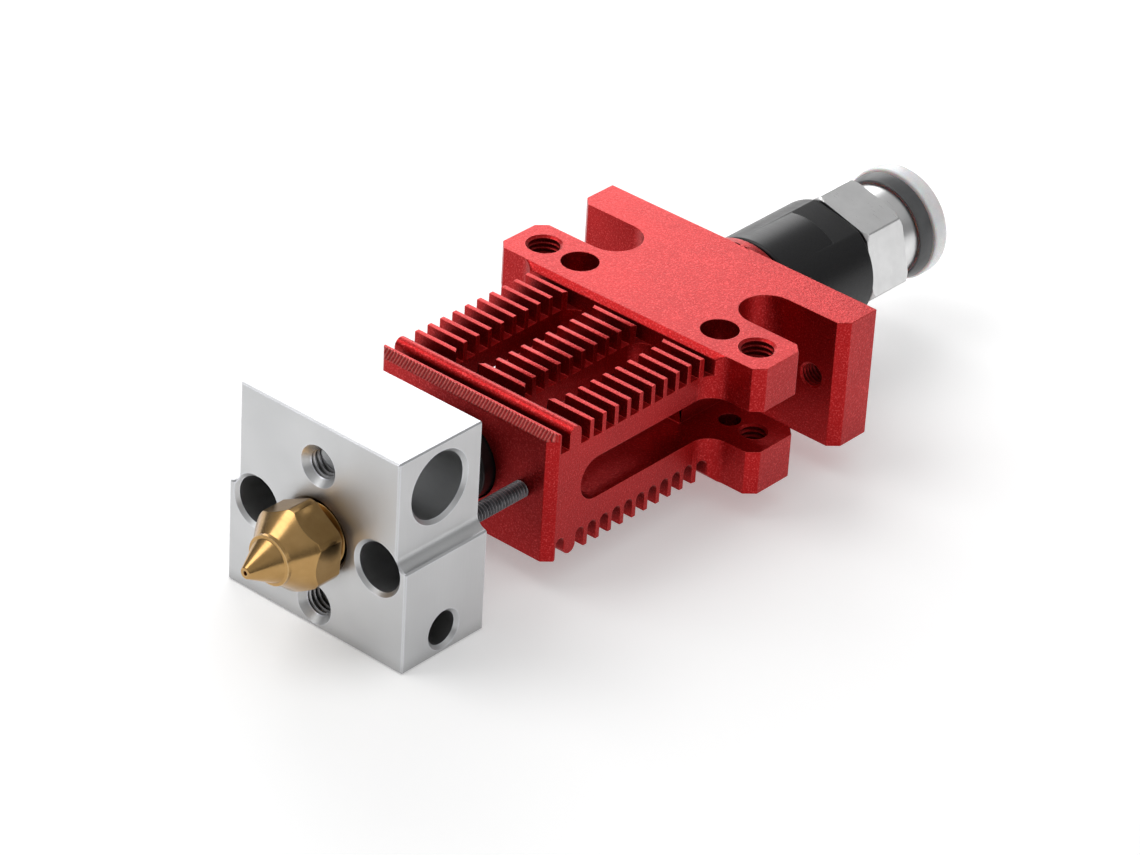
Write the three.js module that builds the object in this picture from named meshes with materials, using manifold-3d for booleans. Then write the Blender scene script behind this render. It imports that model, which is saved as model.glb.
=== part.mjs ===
// A compact bowden hotend for a filament printer, lying on its heater block.
// Millimetres. The filament axis runs along Y: the nozzle tip points to -Y and the tube fitting to +Y.
// X is across the heat sink's width and +Z is up. The origin is the centre of the bounding box's base.
import * as THREE from "three";
import { mergeVertices } from "three/addons/utils/BufferGeometryUtils.js";
import Module from "manifold-3d";

// ---- Clearances -------------------------------------------------------------------------------
const THREAD_GAP = 0.2; // radial gap of a plain thread cylinder in its hole
const PRESS_GAP = 0.15; // radial gap between pieces that are pressed or slid together
const FACE_GAP = 0.3; // gap between two faces that seat on each other
const RELEASE_GAP = 0.15; // radial running gap of the release stem and skirt

// ---- Filament path ----------------------------------------------------------------------------
const TUBE_RADIUS = 2.0; // 4 mm guide tube
const TUBE_GAP = 0.1; // radial, in the bores that guide the tube
const RELEASE_BORE_GAP = 0.25; // radial, in the pieces that the tube is pushed through
const FILAMENT_BORE_RADIUS = 1.0;
const ORIFICE_RADIUS = 0.2;

// ---- Heat sink --------------------------------------------------------------------------------
const SINK_WIDTH = 20; // across the fin columns
const SINK_THICKNESS = 12;
const FRONT_PLATE = 1.05; // thickness along the axis
const FRONT_CORNER_CHAMFER = 0.8; // upright corners of the front plate
const FRONT_EDGE_CHAMFER = 0.62; // top front edge
const FRONT_EDGE_ROUND = 0.25;
const GROOVE_WIDTH = 1.05; // between the front plate and the thick rib
const RIB_THICKNESS = 1.45;
const FIN_COUNT = 10;
const FIN_THICKNESS = 0.5;
const FIN_GAP = 1.06;
const LAST_FIN_GAP = 0.8;
const FIN_DEPTH = 2.0; // height of a fin above the web
const FIN_TOP_DROP = 0.2; // fins stop this far under the plate's face
const FIN_FOOT = 0.35; // fins stand this far out of the plate's underside
const COLUMN_WIDTH = 4.25; // width of each of the three fin columns
const SLOT_HEIGHT = 4.0; // cross slot through the three columns
const SLOT_START = 3.85; // from the front face
const POCKET_DEPTH = 7.8; // the slot's side pockets, measured in from the ear's side
const EAR_REACH = 5.1; // how far an ear stands out of the fin columns' side
const EAR_LENGTH = 6.0;
const EAR_STEP = 0.55; // from the last fin gap to the ear's front face
const PLATE_CHAMFER = 0.5; // the ear plate's edges next to the fins
const EAR_FILLET = 2.0;
const EAR_CHAMFER = 0.9;
const NOTCH_WIDTH = 5.3;
const NOTCH_INNER = 6.25; // distance of the notch's round end from the axis
const WING_REACH = 5.2; // how far a wing stands out of the fin columns' side
const WING_LENGTH = 4.35;
const WING_CHAMFER = 0.9;
const EAR_HOLE_RADIUS = 1.7; // in the upper lobes
const EAR_HOLE_SETBACK = 3.1; // from the ear's front face
const OUTER_HOLE_INSET = 2.9; // from the ear's side
const EAR_HOLE_SPACING = 4.2;
const LOWER_OUTER_RADIUS = 1.3; // in the lower lobes
const LOWER_OUTER_INSET = 2.6;
const LOWER_INNER_RADIUS = 1.0;
const LOWER_HOLE_SPACING = 2.65;
const WING_HOLE_RADIUS = 1.25;
const WING_HOLE_INSET = 3.2; // from the wing's side
const BOSS_RADIUS = 6.25;
const BOSS_LENGTH = 1.3;
const BOSS_CHAMFER = 0.4;

// ---- Heater block -----------------------------------------------------------------------------
const AIR_GAP = 7.7; // between the block and the heat sink
const BLOCK_DEPTH = 9.8;
const BLOCK_TOP_WIDTH = 17.8;
const BLOCK_BASE_WIDTH = 20;
const STEP_ABOVE_AXIS = 0.8; // height of the wider base's shoulder
const HEATER_RADIUS = 3.0;
const HEATER_GAP = 0.05;
const HEATER_WALL = 0.4; // between the heater bore and the nozzle's thread
const BLOCK_TOP_WALL = 1.1; // above the heater bore
const SENSOR_RADIUS = 1.5;
const SENSOR_GAP = 0.05;
const SENSOR_WALL = 2.0; // between the sensor bore and the nozzle's thread
const BLOCK_BASE_WALL = 0.7; // below the sensor bore
const SET_HOLE_RADIUS = 1.5; // threaded holes for the screws that hold the cartridges

// ---- Standoff screws --------------------------------------------------------------------------
const SCREW_RADIUS = 0.8;
const SCREW_OFFSET = 6.85; // from the axis, on each side
const SCREW_ENGAGEMENT = 3.55; // length of thread in the heat sink
const SCREW_HEAD_RADIUS = 1.5;
const SCREW_HEAD_HEIGHT = 1.6;
const SCREW_SOCKET = 1.5;
const SCREW_SOCKET_DEPTH = 0.8;
const SCREW_HEAD_GAP = 0.75; // radial, for the key that holds the head
const SCREW_COUNTERBORE_DEPTH = 6.8;

// ---- Nozzle -----------------------------------------------------------------------------------
const NOZZLE_THREAD_RADIUS = 2.95;
const NOZZLE_THREAD_LENGTH = 4.9;
const NOZZLE_RELIEF_RADIUS = 2.4;
const NOZZLE_STANDOFF = 0.7; // gap between the hexagon and the block
const NOZZLE_HEX = 7.0; // across the flats
const NOZZLE_HEX_TURNED_RADIUS = 3.85;
const NOZZLE_HEX_LENGTH = 2.5;
const NOZZLE_HEX_TURN = THREE.MathUtils.degToRad(27);
const NOZZLE_CONE_LENGTH = 1.95;
const NOZZLE_RING_RADIUS = 2.25;
const NOZZLE_RING_LENGTH = 0.4;
const NOZZLE_TIP_BASE_RADIUS = 1.95;
const NOZZLE_TIP_LENGTH = 2.65;
const NOZZLE_TIP_RADIUS = 0.5;
const ORIFICE_LENGTH = 0.8;

// ---- Heat break -------------------------------------------------------------------------------
const THROAT_NECK_RADIUS = 1.6;
const THROAT_COLD_WALL = 0.4; // around the guide tube
const THROAT_FLANGE_OUT = 1.3; // how far the cold end stands out of the heat sink
const TUBE_STOP = 0.65; // where the guide tube ends, out of the heat sink
const SLEEVE_WALL = 1.05;
const SLEEVE_SEAT_DEPTH = 3.2;

// ---- Tube adaptor -----------------------------------------------------------------------------
const ADAPTOR_RADIUS = 5.95;
const ADAPTOR_LENGTH = 10.55; // the part that shows
const ADAPTOR_SPIGOT_RADIUS = 3.95;
const ADAPTOR_SPIGOT_LENGTH = 8.0;
const ADAPTOR_CHAMFER = 0.2;
const WRENCH_FLAT_DEPTH = 0.6;
const WRENCH_FLAT_LENGTH = 3.6;
const WRENCH_FLAT_TURN = THREE.MathUtils.degToRad(78);

// ---- Push-fit fitting -------------------------------------------------------------------------
const FITTING_HEX = 10.5;
const FITTING_HEX_TURNED_RADIUS = 6.0;
const FITTING_HEX_LENGTH = 5.1;
const FITTING_HEX_TURN = THREE.MathUtils.degToRad(44);
const FITTING_THREAD_RADIUS = 2.95;
const FITTING_THREAD_LENGTH = 4.8;
const FITTING_NECK_WALL = 1.05;
const FITTING_NECK_LENGTH = 3.1;
const FITTING_RIM = 0.4; // the neck's rounded mouth
const SEAL_SECTION_RADIUS = 0.55;
const SPACER_LENGTH = 1.1;
const CLAW_THICKNESS = 0.25;
const CLAW_TOOTH_COUNT = 8;
const CLAW_TOOTH_LENGTH = 0.7;
const CLAW_TOOTH_LEAN = 0.15; // how far a tooth's tip leans forwards
const CLAW_TOOTH_SPLIT = 0.5; // width of the cut between two teeth
const CLAW_TOOTH_GAP = 0.05;
const RETAINER_WALL = 0.3;
const RELEASE_TRAVEL = 1.0;
const RELEASE_STEM_WALL = 0.55;
const RELEASE_FLANGE_RIM = 0.95; // how far the flange stands out past the fitting's neck
const RELEASE_FLANGE_LENGTH = 1.8;
const RELEASE_FLANGE_EDGE = 0.4; // rounding of the flange and its mouth
const RELEASE_SKIRT_LENGTH = 1.4;
const RELEASE_SKIRT_LIP = 0.2; // wall at the skirt's front edge
const RELEASE_SKIRT_GAP = 0.15; // between the skirt and the flange
const RELEASE_SKIRT_INSET = 0.2; // the skirt's rear edge under the flange's

// ---- Fineness ---------------------------------------------------------------------------------
const ROUND = 32; // sides of a large round piece
const SMALL_ROUND = 20;
const ARC = 6; // steps of a fillet or a notch's half round
const ROOT_ARC = 4; // steps of a fin gap's round root
const SEAL_SIDES = 8; // sides of an O-ring's section
const OVER = 1; // how far a cutting tool runs past the face that it opens

// ---- Places along the axis, with 0 at the heat sink's front face ------------------------------
const HALF_THICKNESS = SINK_THICKNESS / 2;
const HALF_WIDTH = SINK_WIDTH / 2;
const WEB_FACE = HALF_THICKNESS - FIN_DEPTH;
const RIB_START = FRONT_PLATE + GROOVE_WIDTH;
const RIB_END = RIB_START + RIB_THICKNESS;
const FIN_PITCH = FIN_THICKNESS + FIN_GAP;
const FINS_START = RIB_END + FIN_GAP;
const FINS_END = FINS_START + FIN_COUNT * FIN_PITCH - FIN_GAP;
const PLATE_START = FINS_END + LAST_FIN_GAP;
const EAR_START = PLATE_START + EAR_STEP;
const EAR_END = EAR_START + EAR_LENGTH;
const WING_START = EAR_END + NOTCH_WIDTH;
const SINK_END = WING_START + WING_LENGTH;
const BOSS_END = SINK_END + BOSS_LENGTH;
const BLOCK_BACK = -AIR_GAP;
const BLOCK_FRONT = BLOCK_BACK - BLOCK_DEPTH;
const BLOCK_MIDDLE = (BLOCK_FRONT + BLOCK_BACK) / 2;
const NOZZLE_HEX_BACK = BLOCK_FRONT - NOZZLE_STANDOFF;
const NOZZLE_HEX_FRONT = NOZZLE_HEX_BACK - NOZZLE_HEX_LENGTH;
const NOZZLE_RING_BACK = NOZZLE_HEX_FRONT - NOZZLE_CONE_LENGTH;
const NOZZLE_RING_FRONT = NOZZLE_RING_BACK - NOZZLE_RING_LENGTH;
const NOZZLE_TIP = NOZZLE_RING_FRONT - NOZZLE_TIP_LENGTH;
const NOZZLE_THREAD_END = BLOCK_FRONT + NOZZLE_THREAD_LENGTH;
const THROAT_START = NOZZLE_THREAD_END + FACE_GAP;
const SLEEVE_END = SLEEVE_SEAT_DEPTH - FACE_GAP;
const ADAPTOR_START = BOSS_END + FACE_GAP;
const ADAPTOR_END = ADAPTOR_START + ADAPTOR_LENGTH;
const FITTING_START = ADAPTOR_END + FACE_GAP;
const FITTING_HEX_END = FITTING_START + FITTING_HEX_LENGTH;
const FITTING_END = FITTING_HEX_END + FITTING_NECK_LENGTH;
const RELEASE_FLANGE_START = FITTING_END + RELEASE_TRAVEL + FACE_GAP;
const RELEASE_END = RELEASE_FLANGE_START + RELEASE_FLANGE_LENGTH;

const TUBE_BORE_RADIUS = TUBE_RADIUS + TUBE_GAP;
const THREAD_BORE_RADIUS = NOZZLE_THREAD_RADIUS + THREAD_GAP;

// ---- Places across the axis -------------------------------------------------------------------
const EAR_SIDE = HALF_WIDTH + EAR_REACH;
const WING_SIDE = HALF_WIDTH + WING_REACH;
const OUTER_HOLE_OFFSET = EAR_SIDE - OUTER_HOLE_INSET;
const INNER_HOLE_OFFSET = OUTER_HOLE_OFFSET - EAR_HOLE_SPACING;
const LOWER_OUTER_OFFSET = EAR_SIDE - LOWER_OUTER_INSET;
const LOWER_INNER_OFFSET = LOWER_OUTER_OFFSET - LOWER_HOLE_SPACING;
const WING_HOLE_OFFSET = WING_SIDE - WING_HOLE_INSET;
const HEATER_BORE_RADIUS = HEATER_RADIUS + HEATER_GAP;
const HEATER_HEIGHT = THREAD_BORE_RADIUS + HEATER_WALL + HEATER_BORE_RADIUS;
const BLOCK_ABOVE_AXIS = HEATER_HEIGHT + HEATER_BORE_RADIUS + BLOCK_TOP_WALL;
const SENSOR_BORE_RADIUS = SENSOR_RADIUS + SENSOR_GAP;
const SENSOR_DROP = THREAD_BORE_RADIUS + SENSOR_WALL + SENSOR_BORE_RADIUS;
const BLOCK_BELOW_AXIS = SENSOR_DROP + SENSOR_BORE_RADIUS + BLOCK_BASE_WALL;
const THROAT_COLD_RADIUS = TUBE_BORE_RADIUS + THROAT_COLD_WALL;
const SLEEVE_BORE = THROAT_COLD_RADIUS + PRESS_GAP;
const SLEEVE_RADIUS = SLEEVE_BORE + SLEEVE_WALL;

const wasm = await Module();
wasm.setup();

// ---- Solids -----------------------------------------------------------------------------------

// A closed three.js geometry as a manifold solid.
function solid(geometry) {
  const bare = new THREE.BufferGeometry();
  bare.setAttribute("position", geometry.getAttribute("position"));
  if (geometry.index) bare.setIndex(geometry.index);
  const merged = mergeVertices(bare, 1e-4);
  return new wasm.Manifold(
    new wasm.Mesh({
      numProp: 3,
      vertProperties: new Float32Array(merged.attributes.position.array),
      triVerts: new Uint32Array(merged.index.array),
    }),
  );
}

// A manifold solid as a named mesh of the assembly.
function piece(name, body, material) {
  const data = body.getMesh();
  const geometry = new THREE.BufferGeometry();
  geometry.setAttribute("position", new THREE.BufferAttribute(data.vertProperties, 3));
  geometry.setIndex(new THREE.BufferAttribute(data.triVerts, 1));
  geometry.computeVertexNormals();
  const mesh = new THREE.Mesh(geometry, material);
  mesh.name = name;
  return mesh;
}

function join(first, ...others) {
  return others.reduce((whole, part) => whole.add(part), first);
}

function cut(body, ...tools) {
  return tools.reduce((rest, tool) => rest.subtract(tool), body);
}

function box(x0, x1, y0, y1, z0, z1) {
  const geometry = new THREE.BoxGeometry(x1 - x0, y1 - y0, z1 - z0);
  geometry.translate((x0 + x1) / 2, (y0 + y1) / 2, (z0 + z1) / 2);
  return solid(geometry);
}

// A rod along Y, at a distance from the axis.
function rodY(radius, y0, y1, { x = 0, z = 0, sides = SMALL_ROUND } = {}) {
  const geometry = new THREE.CylinderGeometry(radius, radius, y1 - y0, sides);
  geometry.translate(x, (y0 + y1) / 2, z);
  return solid(geometry);
}

function rodX(radius, x0, x1, y, z, sides = ROUND) {
  const geometry = new THREE.CylinderGeometry(radius, radius, x1 - x0, sides);
  geometry.rotateZ(-Math.PI / 2);
  geometry.translate((x0 + x1) / 2, y, z);
  return solid(geometry);
}

function rodZ(radius, x, y, z0, z1) {
  const geometry = new THREE.CylinderGeometry(radius, radius, z1 - z0, SMALL_ROUND);
  geometry.rotateX(Math.PI / 2);
  geometry.translate(x, y, (z0 + z1) / 2);
  return solid(geometry);
}

// A ring or rod turned about the filament axis from [radius, y] points, given up the outside first.
function turned(profile, sides = ROUND) {
  const points = profile.map(([radius, y]) => new THREE.Vector2(radius, y));
  return solid(new THREE.LatheGeometry(points, sides));
}

// A closed ring section: the profile's last point is its first.
function turnedRing(profile, sides = ROUND) {
  return turned([...profile, profile[0]], sides);
}

function hexRod(acrossFlats, y0, y1, turn, { x = 0, z = 0 } = {}) {
  const cornerRadius = acrossFlats / Math.sqrt(3);
  const geometry = new THREE.CylinderGeometry(cornerRadius, cornerRadius, y1 - y0, 6);
  geometry.rotateY(Math.PI / 2 - turn);
  geometry.translate(x, (y0 + y1) / 2, z);
  return solid(geometry);
}

// A plan shape in X and Y, from z0 to z1.
function extrudedUp(shape, z0, z1) {
  const geometry = new THREE.ExtrudeGeometry(shape, {
    depth: z1 - z0,
    bevelEnabled: false,
    curveSegments: ARC,
  });
  geometry.translate(0, 0, z0);
  return solid(geometry);
}

// A side shape in Y and Z, from x0 to x1.
function extrudedAcross(shape, x0, x1, curveSegments = ARC) {
  const geometry = new THREE.ExtrudeGeometry(shape, {
    depth: x1 - x0,
    bevelEnabled: false,
    curveSegments,
  });
  geometry.applyMatrix4(new THREE.Matrix4().set(0, 0, 1, x0, 1, 0, 0, 0, 0, 1, 0, 0, 0, 0, 0, 1));
  return solid(geometry);
}

// A front shape in X and Z, from y0 to y1.
function extrudedAlong(shape, y0, y1) {
  const geometry = new THREE.ExtrudeGeometry(shape, {
    depth: y1 - y0,
    bevelEnabled: false,
    curveSegments: ARC,
  });
  geometry.applyMatrix4(new THREE.Matrix4().set(1, 0, 0, 0, 0, 0, -1, y1, 0, 1, 0, 0, 0, 0, 0, 1));
  return solid(geometry);
}

// ---- Heat sink --------------------------------------------------------------------------------

// The plan outline, round the +X side from the front face to the rear face and back.
function sinkPlan() {
  const shape = new THREE.Shape();
  const notchRadius = NOTCH_WIDTH / 2;
  const notchCentre = NOTCH_INNER + notchRadius;
  const filletCentre = HALF_WIDTH + EAR_FILLET;
  const quarter = Math.PI / 2;
  shape.moveTo(-HALF_WIDTH + FRONT_CORNER_CHAMFER, 0);
  shape.lineTo(HALF_WIDTH - FRONT_CORNER_CHAMFER, 0);
  shape.lineTo(HALF_WIDTH, FRONT_CORNER_CHAMFER);
  shape.absarc(filletCentre, EAR_START - EAR_FILLET, EAR_FILLET, 2 * quarter, quarter, true);
  shape.lineTo(EAR_SIDE - EAR_CHAMFER, EAR_START);
  shape.lineTo(EAR_SIDE, EAR_START + EAR_CHAMFER);
  shape.lineTo(EAR_SIDE, EAR_END - EAR_CHAMFER);
  shape.lineTo(EAR_SIDE - EAR_CHAMFER, EAR_END);
  shape.absarc(notchCentre, EAR_END + notchRadius, notchRadius, -quarter, quarter, true);
  shape.lineTo(WING_SIDE - WING_CHAMFER, WING_START);
  shape.lineTo(WING_SIDE, WING_START + WING_CHAMFER);
  shape.lineTo(WING_SIDE, SINK_END);
  shape.lineTo(-WING_SIDE, SINK_END);
  shape.lineTo(-WING_SIDE, WING_START + WING_CHAMFER);
  shape.lineTo(-WING_SIDE + WING_CHAMFER, WING_START);
  shape.absarc(-notchCentre, EAR_END + notchRadius, notchRadius, quarter, -quarter, true);
  shape.lineTo(-EAR_SIDE + EAR_CHAMFER, EAR_END);
  shape.lineTo(-EAR_SIDE, EAR_END - EAR_CHAMFER);
  shape.lineTo(-EAR_SIDE, EAR_START + EAR_CHAMFER);
  shape.lineTo(-EAR_SIDE + EAR_CHAMFER, EAR_START);
  shape.absarc(-filletCentre, EAR_START - EAR_FILLET, EAR_FILLET, quarter, 0, true);
  shape.lineTo(-HALF_WIDTH, FRONT_CORNER_CHAMFER);
  return shape;
}

// The side profile of the fins, in Y and Z: square roots on top and round ones underneath.
function sinkSide() {
  const shape = new THREE.Shape();
  const top = HALF_THICKNESS;
  const finTop = HALF_THICKNESS - FIN_TOP_DROP;
  const finFoot = -HALF_THICKNESS - FIN_FOOT;
  const ribRadius = RIB_THICKNESS / 2;
  const fins = Array.from({ length: FIN_COUNT }, (_, i) => FINS_START + i * FIN_PITCH);
  // The round root of a gap in the underside, from its rear wall to its front wall.
  const roundRoot = (front, rear) => {
    const radius = (rear - front) / 2;
    shape.absarc(front + radius, -WEB_FACE - radius, radius, 0, Math.PI, false);
  };
  shape.moveTo(0, -top);
  shape.lineTo(0, top - FRONT_EDGE_CHAMFER);
  shape.lineTo(FRONT_EDGE_CHAMFER, top);
  shape.lineTo(FRONT_PLATE - FRONT_EDGE_ROUND, top);
  shape.lineTo(FRONT_PLATE, top - FRONT_EDGE_ROUND);
  shape.lineTo(FRONT_PLATE, WEB_FACE);
  shape.lineTo(RIB_START, WEB_FACE);
  shape.absarc(RIB_START + ribRadius, top - ribRadius, ribRadius, Math.PI, 0, true);
  shape.lineTo(RIB_END, WEB_FACE);
  for (const start of fins) {
    shape.lineTo(start, WEB_FACE);
    shape.lineTo(start, finTop);
    shape.lineTo(start + FIN_THICKNESS, finTop);
    shape.lineTo(start + FIN_THICKNESS, WEB_FACE);
  }
  shape.lineTo(PLATE_START, WEB_FACE);
  shape.lineTo(PLATE_START, top - PLATE_CHAMFER);
  shape.lineTo(PLATE_START + PLATE_CHAMFER, top);
  shape.lineTo(SINK_END, top);
  shape.lineTo(SINK_END, -top);
  shape.lineTo(PLATE_START + PLATE_CHAMFER, -top);
  shape.lineTo(PLATE_START, -top + PLATE_CHAMFER);
  roundRoot(FINS_END, PLATE_START);
  for (const start of fins.reverse()) {
    shape.lineTo(start + FIN_THICKNESS, finFoot);
    shape.lineTo(start, finFoot);
    roundRoot(start - FIN_GAP, start);
  }
  shape.absarc(RIB_START + ribRadius, -top + ribRadius, ribRadius, 0, -Math.PI, true);
  roundRoot(FRONT_PLATE, RIB_START);
  shape.lineTo(FRONT_PLATE, -top + FRONT_EDGE_ROUND);
  shape.lineTo(FRONT_PLATE - FRONT_EDGE_ROUND, -top);
  return shape;
}

// The cross slot's side shape in Y and Z, with a round front end.
function slotSide(end) {
  const radius = SLOT_HEIGHT / 2;
  const shape = new THREE.Shape();
  shape.moveTo(end, -radius);
  shape.lineTo(end, radius);
  shape.absarc(SLOT_START + radius, 0, radius, Math.PI / 2, (3 * Math.PI) / 2, false);
  return shape;
}

// The plan of an upright window between two fin columns, with round ends.
function windowPlan(x0, x1) {
  const radius = (x1 - x0) / 2;
  const middle = (x0 + x1) / 2;
  const shape = new THREE.Shape();
  shape.absarc(middle, RIB_END + FIN_GAP / 2 + radius, radius, Math.PI, 2 * Math.PI, false);
  shape.absarc(middle, PLATE_START - radius, radius, 0, Math.PI, false);
  return shape;
}

function heatSink() {
  const beyond = Math.max(EAR_SIDE, WING_SIDE) + OVER;
  const plan = extrudedUp(sinkPlan(), -HALF_THICKNESS - FIN_FOOT, HALF_THICKNESS);
  const side = extrudedAcross(sinkSide(), -beyond, beyond, ROOT_ARC);
  const boss = turned([
    [0, SINK_END - OVER],
    [BOSS_RADIUS, SINK_END - OVER],
    [BOSS_RADIUS, BOSS_END - BOSS_CHAMFER],
    [BOSS_RADIUS - BOSS_CHAMFER, BOSS_END],
    [0, BOSS_END],
  ]);
  const windowOuter = HALF_WIDTH - COLUMN_WIDTH;
  const windowInner = COLUMN_WIDTH / 2;
  const pocketWall = EAR_SIDE - POCKET_DEPTH;
  const slotHalf = SLOT_HEIGHT / 2;
  const seatRadius = SLEEVE_RADIUS + PRESS_GAP;
  const spigotBore = ADAPTOR_SPIGOT_RADIUS + THREAD_GAP;
  const spigotFloor = ADAPTOR_START - ADAPTOR_SPIGOT_LENGTH - FACE_GAP;
  const tools = [
    extrudedAcross(slotSide(PLATE_START), -beyond, beyond),
    rodY(TUBE_BORE_RADIUS, -OVER, BOSS_END + OVER, { sides: ROUND }),
    rodY(seatRadius, -OVER, SLEEVE_SEAT_DEPTH, { sides: ROUND }),
    rodY(spigotBore, spigotFloor, BOSS_END + OVER, { sides: ROUND }),
  ];
  for (const hand of [-1, 1]) {
    const inner = Math.min(hand * windowInner, hand * windowOuter);
    const outer = Math.max(hand * windowInner, hand * windowOuter);
    const pocketInner = Math.min(hand * pocketWall, hand * beyond);
    const pocketOuter = Math.max(hand * pocketWall, hand * beyond);
    tools.push(
      extrudedUp(windowPlan(inner, outer), -beyond, beyond),
      box(pocketInner, pocketOuter, PLATE_START - OVER, EAR_END + OVER, -slotHalf, slotHalf),
      rodY(SCREW_RADIUS + THREAD_GAP, -OVER, SLOT_START + slotHalf, { x: hand * SCREW_OFFSET }),
      rodY(WING_HOLE_RADIUS, WING_START - OVER, SINK_END + OVER, { x: hand * WING_HOLE_OFFSET }),
    );
    const holeY = EAR_START + EAR_HOLE_SETBACK;
    const lobe = slotHalf - OVER;
    tools.push(
      rodZ(EAR_HOLE_RADIUS, hand * INNER_HOLE_OFFSET, holeY, lobe, beyond),
      rodZ(EAR_HOLE_RADIUS, hand * OUTER_HOLE_OFFSET, holeY, lobe, beyond),
      rodZ(LOWER_INNER_RADIUS, hand * LOWER_INNER_OFFSET, holeY, -beyond, -lobe),
      rodZ(LOWER_OUTER_RADIUS, hand * LOWER_OUTER_OFFSET, holeY, -beyond, -lobe),
    );
  }
  return cut(join(plan.intersect(side), boss), ...tools);
}

// ---- Heater block -----------------------------------------------------------------------------

function blockFront() {
  const shape = new THREE.Shape();
  const topSide = BLOCK_TOP_WIDTH / 2;
  const baseSide = BLOCK_BASE_WIDTH / 2;
  const fillet = baseSide - topSide;
  const centreZ = STEP_ABOVE_AXIS + fillet;
  shape.moveTo(-baseSide, -BLOCK_BELOW_AXIS);
  shape.lineTo(baseSide, -BLOCK_BELOW_AXIS);
  shape.absarc(baseSide, centreZ, fillet, -Math.PI / 2, -Math.PI, true);
  shape.lineTo(topSide, BLOCK_ABOVE_AXIS);
  shape.lineTo(-topSide, BLOCK_ABOVE_AXIS);
  shape.absarc(-baseSide, centreZ, fillet, 0, -Math.PI / 2, true);
  return shape;
}

function heaterBlock() {
  const side = BLOCK_BASE_WIDTH / 2 + OVER;
  const counterboreFloor = BLOCK_FRONT + SCREW_COUNTERBORE_DEPTH;
  const tools = [
    rodY(THREAD_BORE_RADIUS, BLOCK_FRONT - OVER, BLOCK_BACK + OVER, { sides: ROUND }),
    rodX(HEATER_BORE_RADIUS, -side, side, BLOCK_MIDDLE, HEATER_HEIGHT),
    rodX(SENSOR_BORE_RADIUS, -side, side, BLOCK_MIDDLE, -SENSOR_DROP, SMALL_ROUND),
    rodY(SET_HOLE_RADIUS, BLOCK_FRONT - OVER, BLOCK_MIDDLE, { z: HEATER_HEIGHT }),
    rodY(SET_HOLE_RADIUS, BLOCK_FRONT - OVER, BLOCK_MIDDLE, { z: -SENSOR_DROP }),
  ];
  for (const hand of [-1, 1]) {
    const x = hand * SCREW_OFFSET;
    tools.push(
      rodY(SCREW_HEAD_RADIUS + SCREW_HEAD_GAP, BLOCK_FRONT - OVER, counterboreFloor, { x }),
      rodY(SCREW_RADIUS + THREAD_GAP, BLOCK_FRONT, BLOCK_BACK + OVER, { x }),
    );
  }
  return cut(extrudedAlong(blockFront(), BLOCK_FRONT, BLOCK_BACK), ...tools);
}

function standoffScrew(x) {
  const seat = BLOCK_FRONT + SCREW_COUNTERBORE_DEPTH - FACE_GAP;
  const headFront = seat - SCREW_HEAD_HEIGHT;
  const socketFloor = headFront + SCREW_SOCKET_DEPTH;
  const head = rodY(SCREW_HEAD_RADIUS, headFront, seat, { x });
  const shank = rodY(SCREW_RADIUS, (socketFloor + seat) / 2, SCREW_ENGAGEMENT, { x });
  const socket = hexRod(SCREW_SOCKET, headFront - OVER, socketFloor, 0, { x });
  return cut(join(head, shank), socket);
}

// ---- Nozzle and heat break --------------------------------------------------------------------

function nozzle() {
  const outside = turned([
    [0, NOZZLE_TIP],
    [NOZZLE_TIP_RADIUS, NOZZLE_TIP],
    [NOZZLE_TIP_BASE_RADIUS, NOZZLE_RING_FRONT],
    [NOZZLE_RING_RADIUS, NOZZLE_RING_BACK],
    [NOZZLE_HEX_TURNED_RADIUS, NOZZLE_HEX_FRONT],
    [NOZZLE_HEX_TURNED_RADIUS, NOZZLE_HEX_BACK],
    [NOZZLE_RELIEF_RADIUS, NOZZLE_HEX_BACK],
    [NOZZLE_RELIEF_RADIUS, BLOCK_FRONT],
    [NOZZLE_THREAD_RADIUS, BLOCK_FRONT + NOZZLE_THREAD_RADIUS - NOZZLE_RELIEF_RADIUS],
    [NOZZLE_THREAD_RADIUS, NOZZLE_THREAD_END],
    [0, NOZZLE_THREAD_END],
  ]);
  const hexagon = hexRod(NOZZLE_HEX, NOZZLE_TIP - OVER, NOZZLE_THREAD_END + OVER, NOZZLE_HEX_TURN);
  const boreFront = NOZZLE_TIP + ORIFICE_LENGTH + FILAMENT_BORE_RADIUS - ORIFICE_RADIUS;
  const bore = turned(
    [
      [0, NOZZLE_TIP - OVER],
      [ORIFICE_RADIUS, NOZZLE_TIP - OVER],
      [ORIFICE_RADIUS, NOZZLE_TIP + ORIFICE_LENGTH],
      [FILAMENT_BORE_RADIUS, boreFront],
      [FILAMENT_BORE_RADIUS, NOZZLE_THREAD_END + OVER],
      [0, NOZZLE_THREAD_END + OVER],
    ],
    SMALL_ROUND,
  );
  return cut(outside.intersect(hexagon), bore);
}

function heatBreakThroat() {
  const neckStart = BLOCK_BACK + FACE_GAP;
  const neckEnd = -THROAT_FLANGE_OUT;
  return turnedRing([
    [FILAMENT_BORE_RADIUS, THROAT_START],
    [NOZZLE_THREAD_RADIUS, THROAT_START],
    [NOZZLE_THREAD_RADIUS, neckStart],
    [THROAT_NECK_RADIUS, neckStart],
    [THROAT_NECK_RADIUS, neckEnd],
    [THROAT_COLD_RADIUS, neckEnd],
    [THROAT_COLD_RADIUS, SLEEVE_END],
    [TUBE_BORE_RADIUS, SLEEVE_END],
    [TUBE_BORE_RADIUS, -TUBE_STOP],
    [FILAMENT_BORE_RADIUS, -TUBE_STOP],
  ]);
}

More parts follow.
